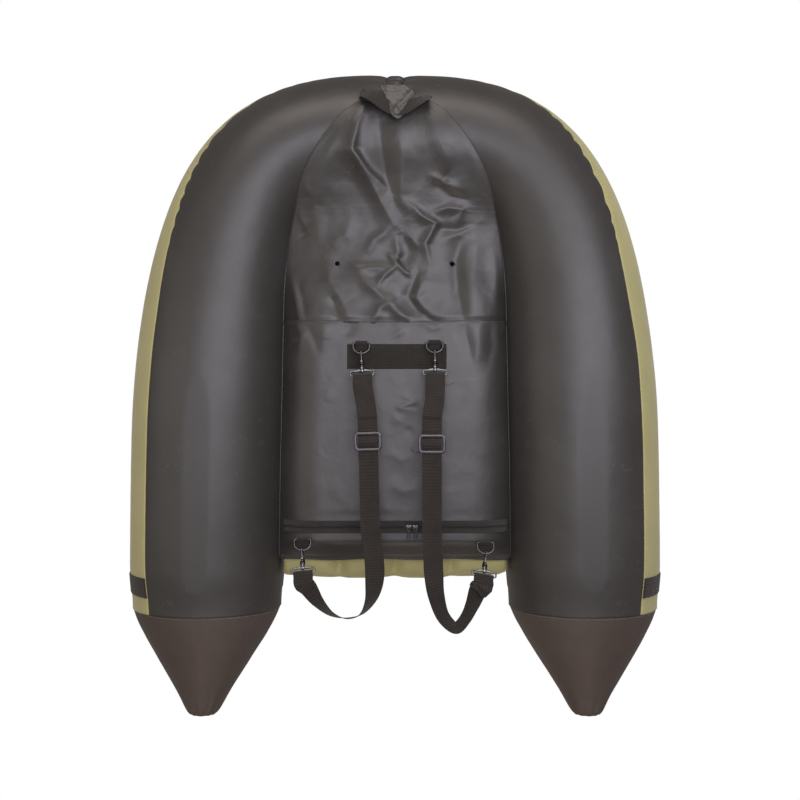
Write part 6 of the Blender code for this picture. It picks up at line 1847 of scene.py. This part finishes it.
def channel_dip(u):
    """1 on a channel, falling softly to 0 beside it."""
    return max(bell(u - k / LOBES, 0.028) for k in range(1, LOBES))


def seat_half(y):
    """Half the room that the tubes leave the seat."""
    return min(SEAT_HALF_WIDTH, on_tube(share_at_y(y), -90, GAP * 3).x)


def floor_under(x, y, half):
    return pocket_z(min(abs(x), half), max(y, POCKET_FRONT_Y))


def seat_form(u, v, w, slack=SLACK):
    t = 2 * u - 1
    y = SEAT_FRONT_Y + (SEAT_REAR_Y - SEAT_FRONT_Y) * v
    front = ease(1 - v / 0.12)
    y += front * (0.003 + (0.009 - 0.003 * t) * t ** 4 + 0.003 * (1 - lobe_height(u)) * (1 - t ** 8)
                  + 0.0015 * math.sin(9 * t + 1))
    full = smooth_table(SEAT_ENDS, v, 0.008)
    half = seat_half(y) * ((0.990 + 0.010 * full) * (1 - 0.010 * math.sin(math.pi * v)))
    x, lobe, side = (half - 0.0015) * t, lobe_height(u), 1 - t ** 8
    ease_side = ease((abs(t) - POCKET_FLAT_SHARE + 0.08) / 0.1)
    ease_front = ease((POCKET_FRONT_Y + POCKET_FRONT_RUN * 1.2 - max(y, POCKET_FRONT_Y)) / POCKET_FRONT_RUN * 4)
    low = floor_under(x, y, half) + CLOTH + GAP + SEAT_EASE * max(ease_side, ease_front) + 0.001
    middle = max(SEAT_MID_Z - LOBE_DEPTH / 2, low + CLOTH)
    crown = SEAT_MID_Z + (SEAT_TOP_Z - SEAT_MID_Z) * side - LOBE_DEPTH * (1 - lobe) * side
    top = middle + CLOTH + (crown - middle - slack * lobe * side) * full
    base = middle + (low + LOBE_DEPTH / 3 * (1 - lobe) * side + slack * 0.3 * lobe - middle) * full
    base += ease(1 - v / 0.16) * 0.026 * channel_dip(u) * full
    bulge = (1 - (2 * w - 1) ** 2) * 0.002
    return Vector((x + math.copysign(bulge * abs(t) ** 6, t), y + bulge * 2 * (v ** 8 - (1 - v) ** 8),
                   base + (top - base) * w))


def seat_sewn(point):
    """1 where the seat is sewn down, so that its cloth stays, 0 elsewhere."""
    half = seat_half(point.y) * 0.99
    on_channel = off_channels((point.x / half + 1) / 2, half * 2) < SEAM_HALF_WIDTH
    on_side = (1 - abs(point.x) / half) * half < 0.008
    on_floor = point.z < floor_under(point.x, point.y, half) + 0.012
    return 1.0 if on_channel or on_side or on_floor else 0.0


form = inflate(cushion_box(64, 60, 16, seat_form), "seat", seat_sewn)
for vert in form.verts:
    half = seat_half(vert.co.y) - 0.0012
    vert.co.x = held_in(vert.co.x, -half, half)
    vert.co.y = held_in(vert.co.y, SEAT_FRONT_Y, SEAT_REAR_Y)
    vert.co.z = max(vert.co.z, floor_under(vert.co.x, vert.co.y, half) + CLOTH + GAP)
seat_tree = bvhtree.BVHTree.FromBMesh(form)
seat = object_from(form, "inflated_seat", OLIVE_CLOTH, replaces=("seat_cushion",))
box_map(seat.data)
print("seat cushion: %d faces" % len(seat.data.polygons))

# %% Backrest cushion
BACKREST_ENDS = ((0, 0.12), (0.02, 0.50), (0.055, 0.78), (0.12, 0.96), (0.3, 1), (0.55, 1), (0.8, 0.97),
                 (0.92, 0.82), (0.975, 0.52), (1, 0.14))
BACKREST_HALF, BACKREST_HEIGHT, BACKREST_THICKNESS, BACKREST_LOBE = 0.205, 0.340, 0.078, 0.014
BACKREST_LEAN = math.radians(10)
HINGE = Vector((0, SEAT_REAR_Y - LOBE_DEPTH, SEAT_TOP_Z + LOBE_DEPTH / 2))
LEAN = Matrix.Translation(HINGE) @ Matrix.Rotation(-BACKREST_LEAN, 4, "X")


def backrest_half(v):
    return BACKREST_HALF * (0.93 + 0.07 * math.sin(math.pi * min(v + 0.25, 0.75) / 1.5))


def backrest_form(u, v, w):
    t = 2 * u - 1
    full = smooth_table(BACKREST_ENDS, v, 0.010)
    lobe, side = lobe_height(u), 1 - abs(t) ** 6
    swell = max((BACKREST_THICKNESS / 2 - BACKREST_LOBE * (1 - lobe) - 0.006 * lobe) * side * full, 0.003)
    half = backrest_half(v) - 0.004
    return Vector((half * t, BACKREST_THICKNESS / 2 + swell * (2 * w - 1), 0.002 + (BACKREST_HEIGHT - 0.004) * v))


def backrest_sewn(point):
    half = backrest_half(held_in(point.z / BACKREST_HEIGHT, 0, 1)) - 0.004
    on_channel = off_channels((point.x / half + 1) / 2, half * 2) < SEAM_HALF_WIDTH
    on_edge = min(half - abs(point.x), point.z, BACKREST_HEIGHT - point.z) < 0.007
    return 1.0 if on_channel or on_edge else 0.0


form = inflate(cushion_box(60, 52, 8, backrest_form), "backrest", backrest_sewn, 0.005)
for vert in form.verts:
    vert.co.x = held_in(vert.co.x, -BACKREST_HALF, BACKREST_HALF)
    vert.co.y = held_in(vert.co.y, 0.0006, BACKREST_THICKNESS - 0.0006)
    vert.co.z = held_in(vert.co.z, 0.0, BACKREST_HEIGHT)
backrest_tree = bvhtree.BVHTree.FromBMesh(form)
bmesh.ops.transform(form, matrix=LEAN, verts=form.verts)
backrest = object_from(form, "inflated_backrest", OLIVE_CLOTH, "backrest", ("backrest_cushion",))
box_map(backrest.data)
print("backrest cushion: %d faces" % len(backrest.data.polygons))

# %% Piping round both cushions
PIPING_RADIUS = 0.0021
edge = []
for u, v in rim_shares(60, 60):
    point, normal, _, _ = seat_tree.find_nearest(seat_form(u, v, 0.62, 0))
    point += normal * 0.0004
    half = seat_half(point.y) - 0.0026
    edge.append(Vector((held_in(point.x, -half, half), point.y, point.z)))
piping("seat_piping", edge, PIPING_RADIUS)
edge = []
for u, v in rim_shares(50, 42):
    point = backrest_tree.find_nearest(backrest_form(u, v, 0.5))[0]
    point.z = held_in(point.z, 0.0022, BACKREST_HEIGHT - 0.0022)
    edge.append(LEAN @ point)
piping("backrest_piping", edge, PIPING_RADIUS, "backrest")
print("piping on both cushions")

# %% [markdown]
# ## Backrest straps
#
# A narrow webbing strap on each side holds the backrest up. It is sewn to the backrest's side, crosses the
# hinge, and ends on the top of the tube.

# %% Backrest straps
BACK_STRAP_WIDTH, BACK_STRAP_SHARE, BACK_STRAP_HEIGHT_SHARE = 0.025, 0.28, 0.82


def build_back_strap(word, side):
    reach = BACKREST_HEIGHT * BACK_STRAP_HEIGHT_SHARE
    top = HINGE + Vector((0, reach * math.sin(BACKREST_LEAN) + BACKREST_THICKNESS / 2,
                          reach * math.cos(BACKREST_LEAN)))
    top.x = BACKREST_HALF + GAP * 2 + WEBBING_THICKNESS
    anchor = on_tube(BACK_STRAP_SHARE, 180, GAP * 2 + WEBBING_THICKNESS * 0.8)
    tail = anchor - Vector((0, BACK_STRAP_WIDTH * 1.5, 0))
    rows = []
    for t in [k / 60 for k in range(61)]:
        middle = top.lerp(anchor, t) - Vector((0, 0, 0.004 * math.sin(math.pi * t)))
        rows.append((middle, UPWARDS.lerp(SIDEWAYS, ease((t - 0.4) / 0.6)).normalized()))
    rows += [(anchor.lerp(tail, k / 8), SIDEWAYS) for k in range(1, 9)]
    laid = []
    for i, (middle, across) in enumerate(rows):
        along = (rows[min(i + 1, len(rows) - 1)][0] - rows[max(i - 1, 0)][0]).normalized()
        across = (across - along * across.dot(along)).normalized()
        laid.append([mirrored(v, side) for v in (middle, across, across.cross(along).normalized())])
    bm, length = add_webbing(laid, BACK_STRAP_WIDTH, WEBBING_THICKNESS, 0.0004)
    made = object_from(bm, word + "_back_webbing", BLACK_WEBBING, None, (word + "_backrest_strap",))
    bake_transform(made)
    return length


for word, side in SIDES:
    length = build_back_strap(word, side)
print("two backrest straps, %.0f mm each" % (length * 1000))

# %% [markdown]
# ## Stitching
#
# Every seam is machine sewn. A stitch shows as a short, slightly sunk grain of thread, so each is a small
# icosphere of twenty faces, stretched along its row. A row walks a line on the finished surface. Real
# stitches are 3 mm long with 0.3 mm thread. They are drawn 4 to 6 mm apart with a thicker thread, or the
# picture would lose them.

# %% Sew a row of stitches
def sew(bm, row, pitch=0.0045, length=0.0031, thread=0.00034):
    """Stitches at equal steps of pitch along a row of (point, outward direction), or of None to leave out."""
    left, row = pitch / 2, [spot for spot in row if spot]
    for (a, out_a), (b, out_b) in zip(row, row[1:]):
        run = (b - a).length
        while run > 0 and left <= run:
            t = left / run
            along = (b - a).normalized()
            out = out_a.lerp(out_b, t)
            out = (out - along * out.dot(along)).normalized()
            across = out.cross(along)
            turned = Matrix((along * length / 2, across * thread, out * thread * 0.8)).transposed()
            place = Matrix.Translation(a.lerp(b, t) + out * thread * 0.25) @ turned.to_4x4()
            bmesh.ops.create_icosphere(bm, subdivisions=1, radius=1.0, matrix=place)
            left += pitch
        left -= run


def close_stitches(bm, name, thread, body="hull"):
    count = len(bm.faces) // 20
    bmesh.ops.recalc_face_normals(bm, faces=bm.faces)
    object_from(bm, name, thread, body, ())
    print(name, count, "stitches")


def away_from(point, centre):
    return point, (point - centre).normalized()


OLIVE_THREAD = moulded("olive_bonded_thread", "6F6A4A", 0.60, 2500.0, 0.2)

# %% Rows along the tubes, the cones and the bands
CONE_STITCH_SHARE = 0.013


def seam_spot(share, side, offset):
    degrees = seam_line(share, side) + offset
    point = on_tube(share, degrees, skin_relief(share, degrees, side), side)
    return away_from(point, mirrored(middle_line(share)[0], side))


def cone_spot(degrees, side):
    point = on_cone(CONE_STITCH_SHARE, degrees, cone_relief(CONE_STITCH_SHARE, degrees, side), side)
    return away_from(point, on_cone_axis(CONE_STITCH_SHARE, point.y, side))


def band_spot(share, side, k):
    low, high = seam_line(share, side) + 1.5, INNER_SEAM_DEGREES + 358
    degrees = low + (high - low) * k / 160
    point = on_tube(share, degrees, BAND_LIFT + skin_relief(share, degrees, side) * 0.5, side)
    centre = middle_line(share)[0]
    return away_from(point, Vector((centre.x * side, point.y, centre.z)))


for word, side in SIDES:
    dark, pale, olive = bmesh.new(), bmesh.new(), bmesh.new()
    for offset, target in ((-1.5, dark), (1.6, olive)):
        sew(target, [seam_spot(0.012 + 0.955 * k / 330, side, offset) for k in range(331)], 0.0060)
    sew(pale, [cone_spot(2 * k, side) for k in range(181)], 0.0060, 0.0034, 0.00040)
    for start in (BAND_CENTRE_Y - BAND_WIDTH / 2 + 0.003, BAND_CENTRE_Y + BAND_WIDTH / 2 - 0.003):
        sew(dark, [band_spot(share_at_y(start), side, k) for k in range(161)], 0.0050)
    close_stitches(dark, word + "_seam_stitches", BLACK_THREAD)
    close_stitches(pale, word + "_cone_stitches", GREY_THREAD)
    close_stitches(olive, word + "_cover_stitches", OLIVE_THREAD)

# %% Rows on the patch, the zip tapes and the cross seam
def spot_on(height, x, y):
    return Vector((x, y, height(x, y))), DOWN


bm = bmesh.new()
x_edge, y_edge = PATCH_LENGTH / 2 - 0.004, PATCH_WIDTH / 2 - PATCH_SEAM_INSET
corners = ((-1, -1), (1, -1), (1, 1), (-1, 1), (-1, -1))
for (ax, ay), (bx, by) in zip(corners, corners[1:]):
    sew(bm, [spot_on(patch_height, PATCH_X + x_edge * (ax + (bx - ax) * k / 40),
                     PATCH_Y + y_edge * (ay + (by - ay) * k / 40)) for k in range(41)])
for inset in (0.0035, 0.0090):
    for sign in (-1, 1):
        y = ZIPPER_Y + sign * (ZIPPER_TAPE_WIDTH / 2 - inset)
        sew(bm, [spot_on(tape_height, ZIPPER_HALF * 0.985 * (k / 60 - 1), y) for k in range(121)], 0.0050)
close_stitches(bm, "pocket_stitches", BLACK_THREAD)

floor_tree = bvhtree.BVHTree.FromObject(pocket_cloth, bpy.context.evaluated_depsgraph_get())


def drop_on_pocket(x, y):
    """Point and outward direction on the underside of the pocket, seen from the camera."""
    hit, normal, _, _ = floor_tree.ray_cast(Vector((x, y, -0.1)), UPWARDS)
    return None if hit is None else (hit, normal if normal.z < 0 else -normal)


bm = bmesh.new()
half = panel_edge(round(CROSS_SEAM_Y, 4))[0]
for inset in (0.004, 0.009):
    sew(bm, [drop_on_pocket(half * u, CROSS_SEAM_Y - inset + seam_bow(u))
             for u in [(k / 60 - 1) * 0.97 for k in range(121)]], 0.0050)
run = [POCKET_FRONT_Y + 0.008 + (CROSS_SEAM_Y - 0.010 - POCKET_FRONT_Y) * k / 140 for k in range(141)]
for sign in (-1, 1):
    sew(bm, [drop_on_pocket(sign * (panel_edge(round(y, 4))[0] - 0.005), y) for y in run], 0.0050)
sew(bm, [drop_on_pocket(half * 0.96 * (k / 60 - 1), POCKET_FRONT_Y + 0.007) for k in range(121)], 0.0050)
close_stitches(bm, "panel_stitches", BLACK_THREAD)

# %% Turned hems where the floor meets the tubes
HEM_RADIUS = 0.0013
for word, side in SIDES:
    places = [storage_edge(1 - k / 90) for k in range(91)]
    for k in range(1, 91):
        y = CROSS_SEAM_Y + (POCKET_FRONT_Y + 0.002 - CROSS_SEAM_Y) * k / 90
        x, z = panel_edge(round(y, 4))
        places.append(Vector((x, y, z)))
    hem = bmesh.new()
    add_rod(hem, [mirrored(p, side) for p in places], HEM_RADIUS, SIDEWAYS, sides=10)
    bmesh.ops.recalc_face_normals(hem, faces=hem.faces)
    box_map(object_from(hem, word + "_panel_hem", PANEL_PVC).data)
print("two turned hems")

# %% Boxes of stitches on the tabs and the strap ends
bm = bmesh.new()
for chain in CHAINS.values():
    top = chain.floor_z - GAP - TAB_THICKNESS * 2.15
    for part in (0.36, 0.60, 0.84):
        y, z = chain.origin.y - TAB_LENGTH * part, top - 0.0004 * (1 - part)
        row = [(Vector((chain.origin.x + TAB_WIDTH * 0.42 * (k / 5 - 1), y, z)), DOWN) for k in range(11)]
        sew(bm, row, 0.0036, 0.0028, 0.00034)
for rows_of, lanes in SEWN_STRAPS:
    for first, last, offset in lanes:
        sew(bm, [(middle + across * offset + out * WEBBING_THICKNESS / 2, out)
                 for middle, across, out in rows_of[first:last]], 0.0042)
    for middle, across, out in (rows_of[lanes[0][0]], rows_of[lanes[0][1] - 1]):
        sew(bm, [(middle + across * WEBBING_WIDTH * 0.38 * (k / 6 - 1) + out * WEBBING_THICKNESS / 2, out)
                 for k in range(13)], 0.0042)
close_stitches(bm, "strap_stitches", BLACK_THREAD)

# %% Channels of the cushions
def seat_spot(share, lane, v):
    wanted = seat_form(share, v, 1, 0)
    hit, normal, _, _ = seat_tree.ray_cast(Vector((wanted.x + lane, wanted.y, 0.4)), DOWN)
    return (hit, normal) if hit else None


def backrest_spot(share, start, way, v):
    wanted = backrest_form(share, v, 0.5)
    hit, normal, _, _ = backrest_tree.ray_cast(Vector((wanted.x, start, wanted.z)), Vector((0, way, 0)))
    return (LEAN @ hit, (LEAN.to_3x3() @ normal).normalized()) if hit else None


seat_thread, back_thread = bmesh.new(), bmesh.new()
for share in [channel / LOBES for channel in range(1, LOBES)]:
    for lane in (-0.0022, 0.0022):
        sew(seat_thread, [seat_spot(share, lane, 0.03 + 0.93 * k / 80) for k in range(81)], 0.0055)
    for start, way in ((-0.2, 1), (0.3, -1)):
        sew(back_thread, [backrest_spot(share, start, way, 0.03 + 0.94 * k / 70) for k in range(71)], 0.0055)
close_stitches(seat_thread, "seat_channel_stitches", OLIVE_THREAD)
close_stitches(back_thread, "backrest_channel_stitches", OLIVE_THREAD, "backrest")

# %% [markdown]
# Two loose thread ends stand off the pocket, where a seam was finished and not trimmed. They are the kind of
# small fault that makes a sewn thing look real.

# %% Loose threads
bm = bmesh.new()
# Points of the two thread ends on the picture
LOOSE_ENDS = (((443.5, 383.2), (446, 384.6), (448.5, 385.2), (451, 384.2), (453.5, 382.2)),
              ((411.3, 447.5), (412, 450), (414.5, 451.8), (418, 452.4), (420.5, 452)))
for spots in LOOSE_ENDS:
    places = []
    for k, (px, py) in enumerate(spots):
        flat = from_picture(px, py, POCKET_FLOOR_Z - 0.0016)
        hit, _, _, _ = floor_tree.ray_cast(Vector((flat.x, flat.y, -0.1)), UPWARDS)
        places.append(Vector((flat.x, flat.y, hit.z - 0.0006 - 0.0009 * math.sin(math.pi * k / (len(spots) - 1)))))
    add_rod(bm, smooth_path(places, 0.0008), 0.00080, SIDEWAYS, sides=8)
bmesh.ops.recalc_face_normals(bm, faces=bm.faces)
object_from(bm, "loose_threads", BLACK_THREAD)
print("two loose thread ends")
